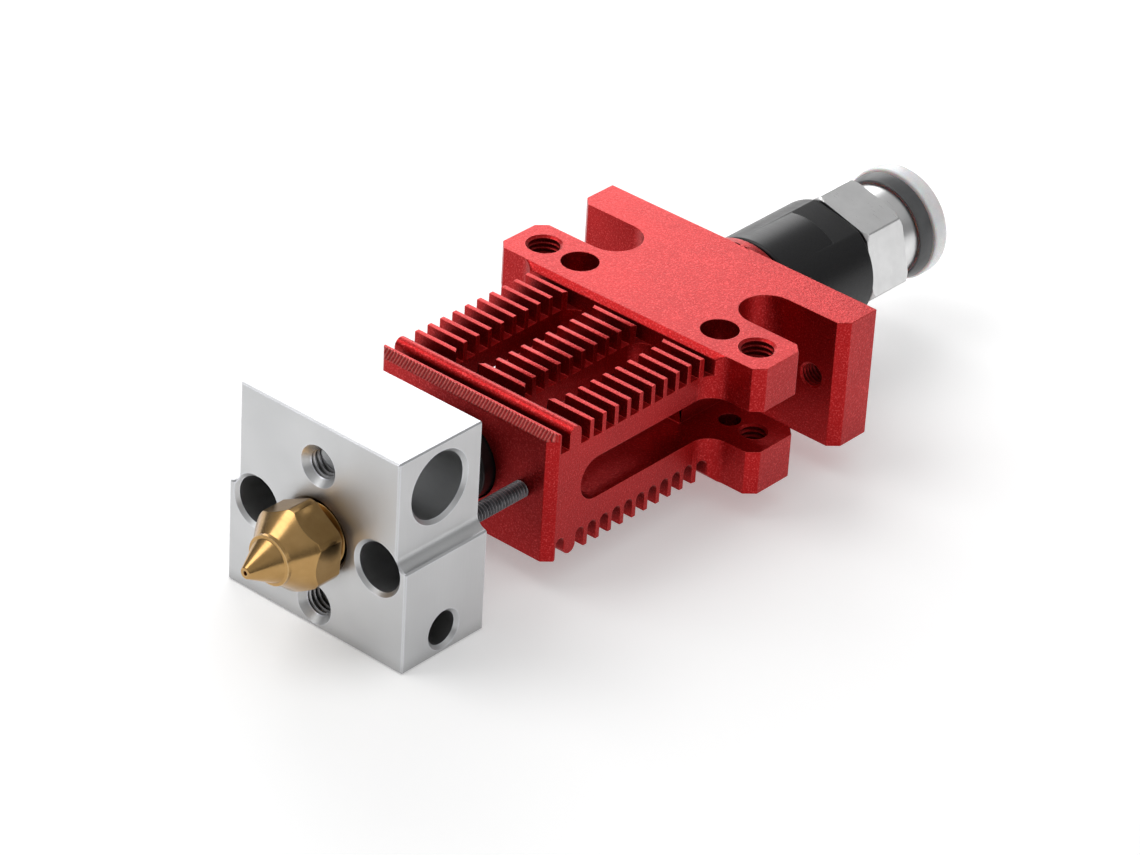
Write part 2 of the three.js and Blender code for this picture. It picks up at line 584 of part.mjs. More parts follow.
function heatBreakSleeve() {
  return turnedRing([
    [SLEEVE_BORE, -THROAT_FLANGE_OUT],
    [SLEEVE_RADIUS, -THROAT_FLANGE_OUT],
    [SLEEVE_RADIUS, SLEEVE_END],
    [SLEEVE_BORE, SLEEVE_END],
  ]);
}

// ---- Tube adaptor -----------------------------------------------------------------------------

function tubeAdaptor() {
  const threadFloor = FITTING_START - FITTING_THREAD_LENGTH - FACE_GAP;
  const threadBore = FITTING_THREAD_RADIUS + THREAD_GAP;
  const spigotStart = ADAPTOR_START - ADAPTOR_SPIGOT_LENGTH;
  const body = turnedRing([
    [TUBE_BORE_RADIUS, spigotStart],
    [ADAPTOR_SPIGOT_RADIUS, spigotStart],
    [ADAPTOR_SPIGOT_RADIUS, ADAPTOR_START],
    [ADAPTOR_RADIUS - ADAPTOR_CHAMFER, ADAPTOR_START],
    [ADAPTOR_RADIUS, ADAPTOR_START + ADAPTOR_CHAMFER],
    [ADAPTOR_RADIUS, ADAPTOR_END - ADAPTOR_CHAMFER],
    [ADAPTOR_RADIUS - ADAPTOR_CHAMFER, ADAPTOR_END],
    [threadBore, ADAPTOR_END],
    [threadBore, threadFloor],
    [TUBE_BORE_RADIUS, threadFloor],
  ]);
  const flatStart = ADAPTOR_END - WRENCH_FLAT_LENGTH;
  const flatDistance = ADAPTOR_RADIUS - WRENCH_FLAT_DEPTH;
  const wide = 2 * ADAPTOR_RADIUS;
  const flats = [0, Math.PI].map((side) => {
    const geometry = new THREE.BoxGeometry(wide, WRENCH_FLAT_LENGTH + OVER, wide);
    geometry.translate(flatDistance + wide / 2, flatStart + (WRENCH_FLAT_LENGTH + OVER) / 2, 0);
    geometry.rotateY(-WRENCH_FLAT_TURN - side);
    return solid(geometry);
  });
  return cut(body, ...flats);
}

// ---- Push-fit fitting -------------------------------------------------------------------------

const RELEASE_BORE = TUBE_RADIUS + RELEASE_BORE_GAP;
const STEM_RADIUS = RELEASE_BORE + RELEASE_STEM_WALL;
const RETAINER_BORE = STEM_RADIUS + RELEASE_GAP;
const CLAW_RING_RADIUS = RETAINER_BORE + RETAINER_WALL;
const FITTING_CHAMBER_RADIUS = CLAW_RING_RADIUS + PRESS_GAP;
const FITTING_NECK_RADIUS = FITTING_CHAMBER_RADIUS + FITTING_NECK_WALL;
const RELEASE_FLANGE_RADIUS = FITTING_NECK_RADIUS + RELEASE_FLANGE_RIM;
const SEAL_RING_RADIUS = CLAW_RING_RADIUS - SEAL_SECTION_RADIUS;
const CHAMBER_FLOOR = FITTING_START + FACE_GAP;
const SEAL_CENTRE = CHAMBER_FLOOR + FACE_GAP + SEAL_SECTION_RADIUS;
const SPACER_START = SEAL_CENTRE + SEAL_SECTION_RADIUS + FACE_GAP;
const SPACER_END = SPACER_START + SPACER_LENGTH;
const CLAW_START = SPACER_END + FACE_GAP;
const RETAINER_START = CLAW_START + CLAW_THICKNESS + FACE_GAP;
const STEM_START = RETAINER_START + RELEASE_TRAVEL + FACE_GAP;

function fittingBody() {
  const threadStart = FITTING_START - FITTING_THREAD_LENGTH;
  const body = turnedRing([
    [TUBE_BORE_RADIUS, threadStart],
    [FITTING_THREAD_RADIUS, threadStart],
    [FITTING_THREAD_RADIUS, FITTING_START],
    [FITTING_HEX_TURNED_RADIUS, FITTING_START],
    [FITTING_HEX_TURNED_RADIUS, FITTING_HEX_END],
    [FITTING_NECK_RADIUS, FITTING_HEX_END],
    [FITTING_NECK_RADIUS, FITTING_END - FITTING_RIM],
    [FITTING_NECK_RADIUS - FITTING_RIM, FITTING_END],
    [FITTING_CHAMBER_RADIUS, FITTING_END],
    [FITTING_CHAMBER_RADIUS, CHAMBER_FLOOR],
    [TUBE_BORE_RADIUS, CHAMBER_FLOOR],
  ]);
  return body.intersect(
    hexRod(FITTING_HEX, threadStart - OVER, FITTING_END + OVER, FITTING_HEX_TURN),
  );
}

// An O-ring about the filament axis.
function tubeSeal() {
  const section = Array.from({ length: SEAL_SIDES }, (_, i) => {
    const angle = (-2 * Math.PI * i) / SEAL_SIDES;
    return [
      SEAL_RING_RADIUS - SEAL_SECTION_RADIUS * Math.cos(angle),
      SEAL_CENTRE + SEAL_SECTION_RADIUS * Math.sin(angle),
    ];
  });
  return turnedRing(section);
}

function sealSpacer() {
  return turnedRing([
    [RELEASE_BORE, SPACER_START],
    [CLAW_RING_RADIUS, SPACER_START],
    [CLAW_RING_RADIUS, SPACER_END],
    [RELEASE_BORE, SPACER_END],
  ]);
}

// A spring-steel ring whose teeth lean in towards the tube.
function clawRing() {
  const tipBore = TUBE_RADIUS + CLAW_TOOTH_GAP;
  const hoopBore = tipBore + CLAW_TOOTH_LENGTH;
  const end = CLAW_START + CLAW_THICKNESS;
  const body = turnedRing([
    [tipBore, CLAW_START - CLAW_TOOTH_LEAN],
    [hoopBore, CLAW_START],
    [CLAW_RING_RADIUS, CLAW_START],
    [CLAW_RING_RADIUS, end],
    [hoopBore, end],
    [tipBore, end - CLAW_TOOTH_LEAN],
  ]);
  const slots = Array.from({ length: CLAW_TOOTH_COUNT }, (_, i) => {
    const geometry = new THREE.BoxGeometry(hoopBore, 2 * OVER, CLAW_TOOTH_SPLIT);
    geometry.translate(hoopBore / 2, CLAW_START, 0);
    geometry.rotateY((2 * Math.PI * (i + 0.5)) / CLAW_TOOTH_COUNT);
    return solid(geometry);
  });
  return cut(body, ...slots);
}

function clawRetainer() {
  const end = FITTING_END - FACE_GAP;
  return turnedRing([
    [RETAINER_BORE, RETAINER_START],
    [CLAW_RING_RADIUS, RETAINER_START],
    [CLAW_RING_RADIUS, end],
    [RETAINER_BORE, end],
  ]);
}

function releaseRing() {
  const edge = RELEASE_FLANGE_EDGE;
  return turnedRing([
    [RELEASE_BORE, STEM_START],
    [STEM_RADIUS, STEM_START],
    [STEM_RADIUS, RELEASE_FLANGE_START],
    [RELEASE_FLANGE_RADIUS, RELEASE_FLANGE_START],
    [RELEASE_FLANGE_RADIUS, RELEASE_END - edge],
    [RELEASE_FLANGE_RADIUS - edge, RELEASE_END],
    [RELEASE_BORE + edge, RELEASE_END],
    [RELEASE_BORE, RELEASE_END - edge],
  ]);
}

function releaseSkirt() {
  const bore = FITTING_NECK_RADIUS + RELEASE_GAP;
  const end = RELEASE_FLANGE_START - RELEASE_SKIRT_GAP;
  return turnedRing([
    [bore, end - RELEASE_SKIRT_LENGTH],
    [bore + RELEASE_SKIRT_LIP, end - RELEASE_SKIRT_LENGTH],
    [RELEASE_FLANGE_RADIUS - RELEASE_SKIRT_INSET, end],
    [bore, end],
  ]);
}

// ---- Finishes ---------------------------------------------------------------------------------

function finish(color, roughness, metalness) {
  return new THREE.MeshStandardMaterial({ color, roughness, metalness });
}

const redAnodised = finish(0xc02420, 0.45, 0.6);
const satinAluminium = finish(0xc8c9c8, 0.35, 0.9);
const brass = finish(0xb08040, 0.2, 1);
const darkSteel = finish(0x3c3c3e, 0.35, 0.9);
const blackAnodised = finish(0x1c1c1e, 0.4, 0.5);
const nickel = finish(0xd0d0d0, 0.15, 1);
const titanium = finish(0x6a6662, 0.35, 0.9);
const blackRubber = finish(0x151515, 0.8, 0);
const greyPlastic = finish(0x505050, 0.45, 0);
const whitePlastic = finish(0xe4e4e4, 0.4, 0);

// ---- Assembly ---------------------------------------------------------------------------------

// Pieces that stay fixed to one another when the fitting is worked.
function fixedPieces() {
  const group = new THREE.Group();
  group.add(
    piece("heat_sink", heatSink(), redAnodised),
    piece("heater_block", heaterBlock(), satinAluminium),
    piece("nozzle", nozzle(), brass),
    piece("heat_break_throat", heatBreakThroat(), titanium),
    piece("heat_break_sleeve", heatBreakSleeve(), blackAnodised),
    piece("standoff_screw_left", standoffScrew(-SCREW_OFFSET), darkSteel),
    piece("standoff_screw_right", standoffScrew(SCREW_OFFSET), darkSteel),
    piece("tube_adaptor", tubeAdaptor(), blackAnodised),
    piece("fitting_body", fittingBody(), nickel),
    piece("tube_seal", tubeSeal(), blackRubber),
    piece("seal_spacer", sealSpacer(), greyPlastic),
    piece("claw_ring", clawRing(), nickel),
    piece("claw_retainer", clawRetainer(), brass),
  );
  return group;
}

// The button that slides into the fitting to free the tube.
function releaseButton() {
  const group = new THREE.Group();
  group.add(
    piece("release_ring", releaseRing(), whitePlastic),
    piece("release_skirt", releaseSkirt(), greyPlastic),
  );
  return group;
}

const hotend = new THREE.Group();
hotend.add(fixedPieces(), releaseButton());
hotend.position.set(0, -(NOZZLE_TIP + RELEASE_END) / 2, BLOCK_BELOW_AXIS);

export default hotend;
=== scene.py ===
import math

import bpy
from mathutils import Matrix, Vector


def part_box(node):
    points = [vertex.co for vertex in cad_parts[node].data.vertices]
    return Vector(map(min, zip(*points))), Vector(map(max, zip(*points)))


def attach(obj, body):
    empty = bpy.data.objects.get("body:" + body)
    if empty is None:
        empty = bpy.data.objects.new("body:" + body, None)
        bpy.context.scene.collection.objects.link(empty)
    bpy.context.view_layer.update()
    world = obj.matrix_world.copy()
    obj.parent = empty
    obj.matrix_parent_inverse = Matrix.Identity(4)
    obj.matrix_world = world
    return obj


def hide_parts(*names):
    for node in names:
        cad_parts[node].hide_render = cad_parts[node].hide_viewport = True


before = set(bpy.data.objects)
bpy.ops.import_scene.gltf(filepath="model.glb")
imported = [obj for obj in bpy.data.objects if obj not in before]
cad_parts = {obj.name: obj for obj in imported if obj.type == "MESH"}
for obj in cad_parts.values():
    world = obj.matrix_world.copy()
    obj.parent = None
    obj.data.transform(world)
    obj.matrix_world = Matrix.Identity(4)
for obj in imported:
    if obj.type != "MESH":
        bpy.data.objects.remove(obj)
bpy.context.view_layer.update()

# ---- Sizes, in millimetres on the filament axis -------------------------------------------------
MM = 0.001
STEPS = 96  # sides of a large round piece
FINE_STEPS = 64
SMALL_STEPS = 40
THREAD_STEPS = 28
ARC = 12  # steps of a quarter or half round in an outline
WELD = 0.0015
OVER = 1.0  # how far a cutter runs past the face it opens

SINK_LOW, SINK_HIGH = (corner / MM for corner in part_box("heat_sink"))
BLOCK_LOW, BLOCK_HIGH = (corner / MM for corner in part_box("heater_block"))
NOZZLE_LOW, NOZZLE_HIGH = (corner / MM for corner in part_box("nozzle"))
COLLAR_LOW, COLLAR_HIGH = (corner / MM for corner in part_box("tube_adaptor"))
FITTING_LOW, FITTING_HIGH = (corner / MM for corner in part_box("fitting_body"))
RING_LOW, RING_HIGH = (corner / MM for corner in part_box("release_ring"))
SKIRT_LOW, SKIRT_HIGH = (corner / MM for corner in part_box("release_skirt"))
THROAT_LOW, THROAT_HIGH = (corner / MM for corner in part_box("heat_break_throat"))
SLEEVE_LOW, SLEEVE_HIGH = (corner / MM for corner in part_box("heat_break_sleeve"))
SCREW_LOW, SCREW_HIGH = (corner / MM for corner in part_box("standoff_screw_right"))

FRONT = SINK_LOW.y  # the heat sink's front face
AXIS = (COLLAR_LOW.z + COLLAR_HIGH.z) / 2  # height of the filament axis

# Heat sink, with Y measured from its front face and Z from the axis.
THICK = SINK_HIGH.z - AXIS
WING_SIDE = SINK_HIGH.x
EAR_SIDE = WING_SIDE - 0.1
COLUMN_SIDE = 10.0
COLUMN = 4.25
WEB = THICK - 2.0
PLATE_FRONT = 1.05
GROOVE = 1.05
RIB = 1.45
FIN = 0.5
FIN_GAP = 1.06
FIN_COUNT = 10
FIN_DROP = 0.2
FIN_FOOT = AXIS - SINK_LOW.z  # the fins stand out of the underside
PLATE_CHAMFER = 0.5
LAST_GAP = 0.8
FRONT_CORNER = 0.8
FRONT_CHAMFER = 0.62
FRONT_ROUND = 0.12
RIB_START = PLATE_FRONT + GROOVE
RIB_END = RIB_START + RIB
FINS_START = RIB_END + FIN_GAP
FIN_PITCH = FIN + FIN_GAP
FINS_END = FINS_START + FIN_COUNT * FIN_PITCH - FIN_GAP
PLATE_START = FINS_END + LAST_GAP
EAR_START = PLATE_START + 0.55
EAR_END = EAR_START + 6.0
EAR_FILLET = 2.0
EAR_CHAMFER = 0.9
NOTCH_RADIUS = 2.65
NOTCH_INNER = 6.25
WING_START = EAR_END + 2 * NOTCH_RADIUS
WING_END = WING_START + 4.35
SLOT_HALF = 2.0
SLOT_START = 3.85
POCKET_INNER = EAR_SIDE - 7.8
EAR_HOLE = 1.7
EAR_HOLE_CORE = 1.44
LOWER_OUTER_HOLE = 1.3
LOWER_OUTER_CORE = 1.1
LOWER_INNER_HOLE = 1.0
EAR_HOLE_Y = EAR_START + 3.1
OUTER_HOLE_X = EAR_SIDE - 2.9
INNER_HOLE_X = OUTER_HOLE_X - 4.2
LOWER_OUTER_X = EAR_SIDE - 2.6
LOWER_INNER_X = LOWER_OUTER_X - 2.65
WING_HOLE = 1.25
WING_HOLE_CORE = 1.05
WING_HOLE_X = WING_SIDE - 3.2
BOSS_END = SINK_HIGH.y - FRONT
BOSS = 6.25
BOSS_CHAMFER = 0.4
TUBE_BORE = 2.1
SLEEVE_SEAT = SLEEVE_HIGH.x + 0.15
SLEEVE_SEAT_DEPTH = 3.2
SPIGOT_BORE = 4.15
SPIGOT_FLOOR = COLLAR_LOW.y - FRONT - 0.3
THREAD_PITCH = 0.5
WING_PITCH = 0.4
SINK_EDGE = 0.07  # softening of the machined edges
GROOVE_REACH = 0.05  # how far past a threaded hole the softening stays away
SCREW_GAP = 0.2  # radial, around the standoff screws
SCREW_HOLE_END = SLOT_START + 2.0
HOLE_START = 1.0  # the ear holes' cutters start inside the slot

# Heater block.
BLOCK_FRONT = BLOCK_LOW.y - FRONT
BLOCK_BACK = BLOCK_HIGH.y - FRONT
BLOCK_MIDDLE = (BLOCK_FRONT + BLOCK_BACK) / 2
BLOCK_TOP = BLOCK_HIGH.z - AXIS
BLOCK_BASE = BLOCK_LOW.z - AXIS
BASE_SIDE = BLOCK_HIGH.x
TOP_SIDE = BASE_SIDE - 1.1
STEP = 0.8
BLOCK_CHAMFER = 0.3
HEATER_BORE = 3.05
HEATER_Z = BLOCK_TOP - 1.1 - HEATER_BORE
SENSOR_BORE = 1.55
SENSOR_Z = BLOCK_BASE + 0.7 + SENSOR_BORE
SET_HOLE = 1.5
SET_HOLE_CORE = 1.26
SET_COUNTERSINK = 1.93
NOZZLE_HOLE = 3.15
SCREW_X = (SCREW_LOW.x + SCREW_HIGH.x) / 2
HEAD_BORE = 2.25
HEAD_BORE_DEPTH = 6.8
SCREW_HOLE = 1.0
HOLE_CHAMFER = 0.33

# Screws.
SCREW = 0.8
SCREW_CORE = 0.58
SCREW_PITCH = 0.35
HEAD = SCREW_HIGH.x - SCREW_X
HEAD_FRONT = SCREW_LOW.y - FRONT
HEAD_BACK = HEAD_FRONT + 1.6
SCREW_END = SCREW_HIGH.y - FRONT
HEAD_SOCKET = 1.5
SOCKET_DEPTH = 0.8
HEAD_EDGE = 0.18
HEAD_LAP = 0.2  # how far the shank runs into the head

# Nozzle.
TIP = NOZZLE_LOW.y - FRONT
NOZZLE_BACK = NOZZLE_HIGH.y - FRONT
HEX_BACK = BLOCK_FRONT - 0.7
HEX_FRONT = HEX_BACK - 2.5
RING_FRONT = HEX_FRONT - 1.95
TIP_BASE = RING_FRONT - 0.4
NOZZLE_HEX = 7.0
NOZZLE_TURNED = 3.85
NOZZLE_TURN = math.radians(27)
NOZZLE_SHOULDER = 2.25
NOZZLE_TIP_BASE = 1.95
NOZZLE_TIP = 0.5
NOZZLE_RELIEF = 2.4
NOZZLE_RELIEF_END = HEX_BACK + 0.7
NOZZLE_THREAD = 2.95
NOZZLE_LEAD = 0.3  # chamfer at the ends of the thread
NOZZLE_RING_STEP = 0.02
FILAMENT_BORE = 1.0
ORIFICE = 0.2
ORIFICE_END = TIP + 0.8
ORIFICE_CONE_END = TIP + 2.2
NOZZLE_EDGE = 0.05

# Heat break.
THROAT_LEAD_RADIUS = 2.7
THROAT_LEAD = 0.3
THROAT_NECK = 1.6
THROAT_NECK_START = -7.4
THROAT_NECK_END = -1.3
THROAT_SHOULDER = 2.8
THROAT_SHOULDER_START = THROAT_NECK_START - 0.15
THROAT_FLANGE = 2.5
TUBE_STOP = -1.0
TUBE_CONE_START = -1.4
THROAT_EDGE = 0.06
SLEEVE_BORE = 2.65
SLEEVE_EDGE = 0.18

# Collar, fitting and release ring.
COLLAR = COLLAR_HIGH.x
COLLAR_START = BOSS_END + 0.3
COLLAR_END = COLLAR_HIGH.y - FRONT
SPIGOT = 3.95
SPIGOT_START = COLLAR_LOW.y - FRONT
COLLAR_EDGE = 0.2
COLLAR_SOFTENING = 0.08
FLAT_DEPTH = 0.6
FLAT_LENGTH = 3.6
FLAT_TURN = math.radians(78)
COLLAR_BORE = 3.15
FITTING_START = FITTING_LOW.y - FRONT
COLLAR_BORE_START = FITTING_START - 0.3
FITTING_END = FITTING_HIGH.y - FRONT
FITTING_HEX = 10.5
FITTING_TURNED = 6.0
FITTING_TURN = math.radians(44)
FITTING_HEX_START = COLLAR_END + 0.3
FITTING_HEX_END = FITTING_HEX_START + 5.1
FITTING_EDGE = 0.3
FITTING_THREAD = 2.95
FITTING_NECK = 4.45
FITTING_CHAMBER = 3.4
FITTING_FLOOR = FITTING_HEX_START + 0.3
FITTING_RIM = 0.4
FITTING_SOFTENING = 0.07
RING = RING_HIGH.x
RING_END = RING_HIGH.y - FRONT
RING_START = RING_END - 1.8
RING_FRONT_ROUND = 0.2
RING_BACK_ROUND = 0.55
RING_MOUTH_ROUND = 0.45
STEM = 2.8
STEM_START = RING_LOW.y - FRONT
RING_BORE = 2.25
SKIRT = SKIRT_HIGH.x
SKIRT_START = SKIRT_LOW.y - FRONT
SKIRT_END = SKIRT_HIGH.y - FRONT
SKIRT_BORE = FITTING_NECK + 0.15
SKIRT_LIP = 0.2
SKIRT_CHAMFER = 0.15
SMALL_EDGE = 0.05  # softening of the small turned pieces


# ---- Modelling ----------------------------------------------------------------------------------
def at(x, y, z):
    """A point of the part's frame from millimetres on the filament axis."""
    return Vector((x, y + FRONT, z + AXIS)) * MM


def object_mode():
    if bpy.context.mode != "OBJECT":
        bpy.ops.object.mode_set(mode="OBJECT")


def pick(piece):
    """Makes this piece the only one that an operator acts on."""
    object_mode()
    bpy.ops.object.select_all(action="DESELECT")
    piece.select_set(True)
    bpy.context.view_layer.objects.active = piece


def edit(piece, select="SELECT"):
    pick(piece)
    bpy.ops.object.mode_set(mode="EDIT")
    bpy.ops.mesh.select_mode(type="VERT")
    bpy.ops.mesh.select_all(action=select)


def trace(name, points, closed=True):
    """A new piece: a line of vertices extruded from point to point, left in edit mode."""
    object_mode()
    bpy.ops.object.select_all(action="DESELECT")
    bpy.ops.mesh.primitive_plane_add(size=MM)
    piece = bpy.context.object
    piece.name = piece.data.name = name
    edit(piece)
    bpy.ops.mesh.merge(type="CENTER")
    bpy.ops.transform.translate(value=points[0])
    rest = list(points[1:]) + ([points[0]] if closed else [])
    here = points[0]
    for point in rest:
        bpy.ops.mesh.extrude_region_move(TRANSFORM_OT_translate={"value": point - here})
        here = point
    bpy.ops.mesh.select_all(action="SELECT")
    if closed:
        bpy.ops.mesh.remove_doubles(threshold=WELD * MM)
    return piece


def outward():
    """In edit mode, welds the mesh and turns its faces outwards."""
    bpy.ops.mesh.select_all(action="SELECT")
    bpy.ops.mesh.remove_doubles(threshold=WELD * MM)
    bpy.ops.mesh.normals_make_consistent(inside=False)


def slab(name, points, reach):
    """A closed outline filled and extruded by reach, a vector in millimetres."""
    piece = trace(name, points)
    bpy.ops.mesh.edge_face_add()
    bpy.ops.mesh.extrude_region_move(TRANSFORM_OT_translate={"value": Vector(reach) * MM})
    outward()
    object_mode()
    return piece


AXES = {
    "x": (Vector((1, 0, 0)), Vector((0, 0, 1))),
    "y": (Vector((0, 1, 0)), Vector((0, 0, 1))),
    "z": (Vector((0, 0, 1)), Vector((1, 0, 0))),
}


def turned(name, profile, steps=STEPS, axis="y", centre=(0, 0, 0), ring=False):
    """A profile of (radius, place along the axis) pairs, spun round. A ring's profile is closed."""
    along, out = AXES[axis]
    hub = at(*centre)
    points = [hub + (out * radius + along * place) * MM for radius, place in profile]
    piece = trace(name, points, closed=ring)
    bpy.ops.mesh.spin(steps=steps, angle=math.tau, center=hub, axis=along)
    outward()
    object_mode()
    return piece


def spun(name, profile, steps=STEPS, ring=True):
    """A turned piece on the filament axis, its places measured from the heat sink's front face."""
    return turned(name, profile, steps, "y", (0, 0, 0), ring)


def threaded(name, core, crest, pitch, start, end, axis="y", centre=(0, 0, 0)):
    """A closed threaded rod, from start to end or a little further along its axis."""
    along, out = AXES[axis]
    line = [(core, 0), (crest, 0.38), (crest, 0.5), (core, 0.88), (core, 1)]
    points = [(out * radius + along * (share * pitch)) * MM for radius, share in line]
    piece = trace(name, points, closed=False)
    object_mode()
    bpy.ops.object.modifier_add(type="SCREW")
    screw = piece.modifiers[-1]
    screw.axis = axis.upper()
    screw.angle = math.tau
    screw.screw_offset = pitch * MM
    screw.iterations = math.ceil((end - start) / pitch)
    screw.steps = screw.render_steps = THREAD_STEPS
    screw.use_merge_vertices = True
    screw.merge_threshold = WELD * MM
    bpy.ops.object.modifier_apply(modifier=screw.name)
    edit(piece)
    bpy.ops.mesh.remove_doubles(threshold=WELD * MM)
    bpy.ops.mesh.select_all(action="DESELECT")
    bpy.ops.mesh.select_mode(type="EDGE")
    bpy.ops.mesh.select_non_manifold()
    bpy.ops.mesh.fill_holes(sides=0)
    bpy.ops.mesh.select_all(action="SELECT")
    bpy.ops.transform.translate(value=at(*centre) + along * start * MM)
    outward()
    object_mode()
    return piece


def tapped(core, crest, pitch, start, end, axis, centre):
    """A cutter for a threaded hole: a round bar with a groove at every turn."""
    line = [(0, start), (core, start)]
    for i in range(int((end - start) / pitch)):
        turn = start + i * pitch
        line += [(core, turn + 0.12 * pitch), (crest, turn + 0.44 * pitch)]
        line += [(crest, turn + 0.56 * pitch), (core, turn + 0.88 * pitch)]
    return turned("hole", line + [(core, end), (0, end)], SMALL_STEPS, axis, centre)


def carve(piece, *tools, how="DIFFERENCE"):
    """Cuts tools out of a piece, joins them on or keeps what they share, and removes the tools."""
    for tool in tools:
        pick(piece)
        bpy.ops.object.modifier_add(type="BOOLEAN")
        boolean = piece.modifiers[-1]
        boolean.object = tool
        boolean.operation = how
        boolean.solver = "EXACT"
        bpy.ops.object.modifier_apply(modifier=boolean.name)
        bpy.data.objects.remove(tool)
    return piece


def soften(piece, width, segments=2, angle=35, threads=()):
    """Rounds every edge sharper than angle, apart from those in the threaded holes.
    Each thread is its axis, a point on it in millimetres and the radius to leave alone."""
    edit(piece, "DESELECT")
    bpy.ops.mesh.select_mode(type="EDGE")
    bpy.ops.mesh.edges_select_sharp(sharpness=math.radians(angle))
    if threads:
        object_mode()
        mesh = piece.data
        for edge in mesh.edges:
            if edge.select:
                ends = [mesh.vertices[i].co for i in edge.vertices]
                edge.select = not any(near(point, thread) for point in ends for thread in threads)
        for vertex in mesh.vertices:
            vertex.select = False
        for edge in mesh.edges:
            if edge.select:
                for i in edge.vertices:
                    mesh.vertices[i].select = True
        for face in mesh.polygons:
            face.select = False
        bpy.ops.object.mode_set(mode="EDIT")
    bpy.ops.mesh.bevel(offset=width * MM, segments=segments, clamp_overlap=False)
    object_mode()
    return piece


def near(point, thread):
    """Whether a point lies inside a threaded hole's cylinder."""
    axis, centre, radius = thread
    along = AXES[axis][0]
    offset = point - at(*centre)
    return (offset - along * offset.dot(along)).length < radius * MM


def shade(piece, angle=32):
    """Smooth shading that keeps flat faces flat."""
    pick(piece)
    bpy.ops.object.shade_smooth_by_angle(angle=math.radians(angle))
    bpy.ops.object.modifier_add(type="WEIGHTED_NORMAL")
    piece.modifiers[-1].keep_sharp = True
    bpy.ops.object.modifier_apply(modifier=piece.modifiers[-1].name)
    return piece


def arc(centre, radius, start, end, steps=ARC):
    """Points of an arc in a plane, angles in degrees."""
    turns = [math.radians(start + (end - start) * i / steps) for i in range(steps + 1)]
    return [(centre[0] + radius * math.cos(a), centre[1] + radius * math.sin(a)) for a in turns]


def hexagon(name, flats, turn, start, end):
    """A hexagonal bar on the filament axis, for cutting flats."""
    corner = flats / math.sqrt(3)
    angles = [turn + math.tau * i / 6 for i in range(6)]
    points = [at(corner * math.cos(a), start, corner * math.sin(a)) for a in angles]
    return slab(name, points, (0, end - start, 0))


def block_box(name, low, high):
    """A plain box, for cutting."""
    points = [at(low[0], low[1], low[2]), at(high[0], low[1], low[2])]
    points += [at(high[0], high[1], low[2]), at(low[0], high[1], low[2])]
    return slab(name, points, (0, 0, high[2] - low[2]))


def mount(piece, body, slot, *nodes):
    """Hangs a finished piece on its body, in place of the CAD nodes it stands for."""
    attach(piece, body)
    if nodes:
        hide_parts(*nodes)
    return piece


# ---- Heat sink ----------------------------------------------------------------------------------
def sink_plan():
    """Half of the plan outline, then its mirror image."""
    half = [(COLUMN_SIDE - FRONT_CORNER, 0), (COLUMN_SIDE, FRONT_CORNER)]
    centre = (COLUMN_SIDE + EAR_FILLET, EAR_START - EAR_FILLET)
    half += arc(centre, EAR_FILLET, 180, 90)
    half += [(EAR_SIDE - EAR_CHAMFER, EAR_START), (EAR_SIDE, EAR_START + EAR_CHAMFER)]
    half += [(EAR_SIDE, EAR_END - EAR_CHAMFER), (EAR_SIDE - EAR_CHAMFER, EAR_END)]
    centre = (NOTCH_INNER + NOTCH_RADIUS, EAR_END + NOTCH_RADIUS)
    half += arc(centre, NOTCH_RADIUS, 270, 90, 2 * ARC)
    half += [(WING_SIDE - EAR_CHAMFER, WING_START), (WING_SIDE, WING_START + EAR_CHAMFER)]
    half += [(WING_SIDE, WING_END)]
    return half + [(-x, y) for x, y in reversed(half)]


def sink_side():
    """The fins' profile in Y and Z, square roots on top and round roots underneath."""
    tip = THICK - FIN_DROP
    starts = [FINS_START + i * FIN_PITCH for i in range(FIN_COUNT)]
    line = [(0, -THICK), (0, THICK - FRONT_CHAMFER), (FRONT_CHAMFER, THICK)]
    line += [(PLATE_FRONT - FRONT_ROUND, THICK), (PLATE_FRONT, THICK - FRONT_ROUND)]
    line += [(PLATE_FRONT, WEB), (RIB_START, WEB)]
    line += arc((RIB_START + RIB / 2, THICK - RIB / 2), RIB / 2, 180, 0)
    line += [(RIB_END, WEB)]
    for start in starts:
        line += [(start, WEB), (start, tip), (start + FIN, tip), (start + FIN, WEB)]
    bend = PLATE_CHAMFER
    line += [(PLATE_START, WEB), (PLATE_START, THICK - bend), (PLATE_START + bend, THICK)]
    line += [(WING_END, THICK), (WING_END, -THICK)]
    line += [(PLATE_START + bend, -THICK), (PLATE_START, -THICK + bend)]
    line += root(FINS_END, PLATE_START)
    for start in reversed(starts):
        line += [(start + FIN, -FIN_FOOT), (start, -FIN_FOOT)] + root(start - FIN_GAP, start)
    line += arc((RIB_START + RIB / 2, -THICK + RIB / 2), RIB / 2, 0, -180)
    line += root(PLATE_FRONT, RIB_START)
    line += [(PLATE_FRONT, -THICK + FRONT_ROUND), (PLATE_FRONT - FRONT_ROUND, -THICK)]
    return line


def root(front, rear):
    """A round root in the underside, from its rear wall to its front wall."""
    radius = (rear - front) / 2
    return arc((front + radius, -WEB - radius), radius, 0, 180, ARC // 2)


def lay(outline, z):
    return [at(x, y, z) for x, y in outline]


def stand(outline, x):
    return [at(x, y, z) for y, z in outline]


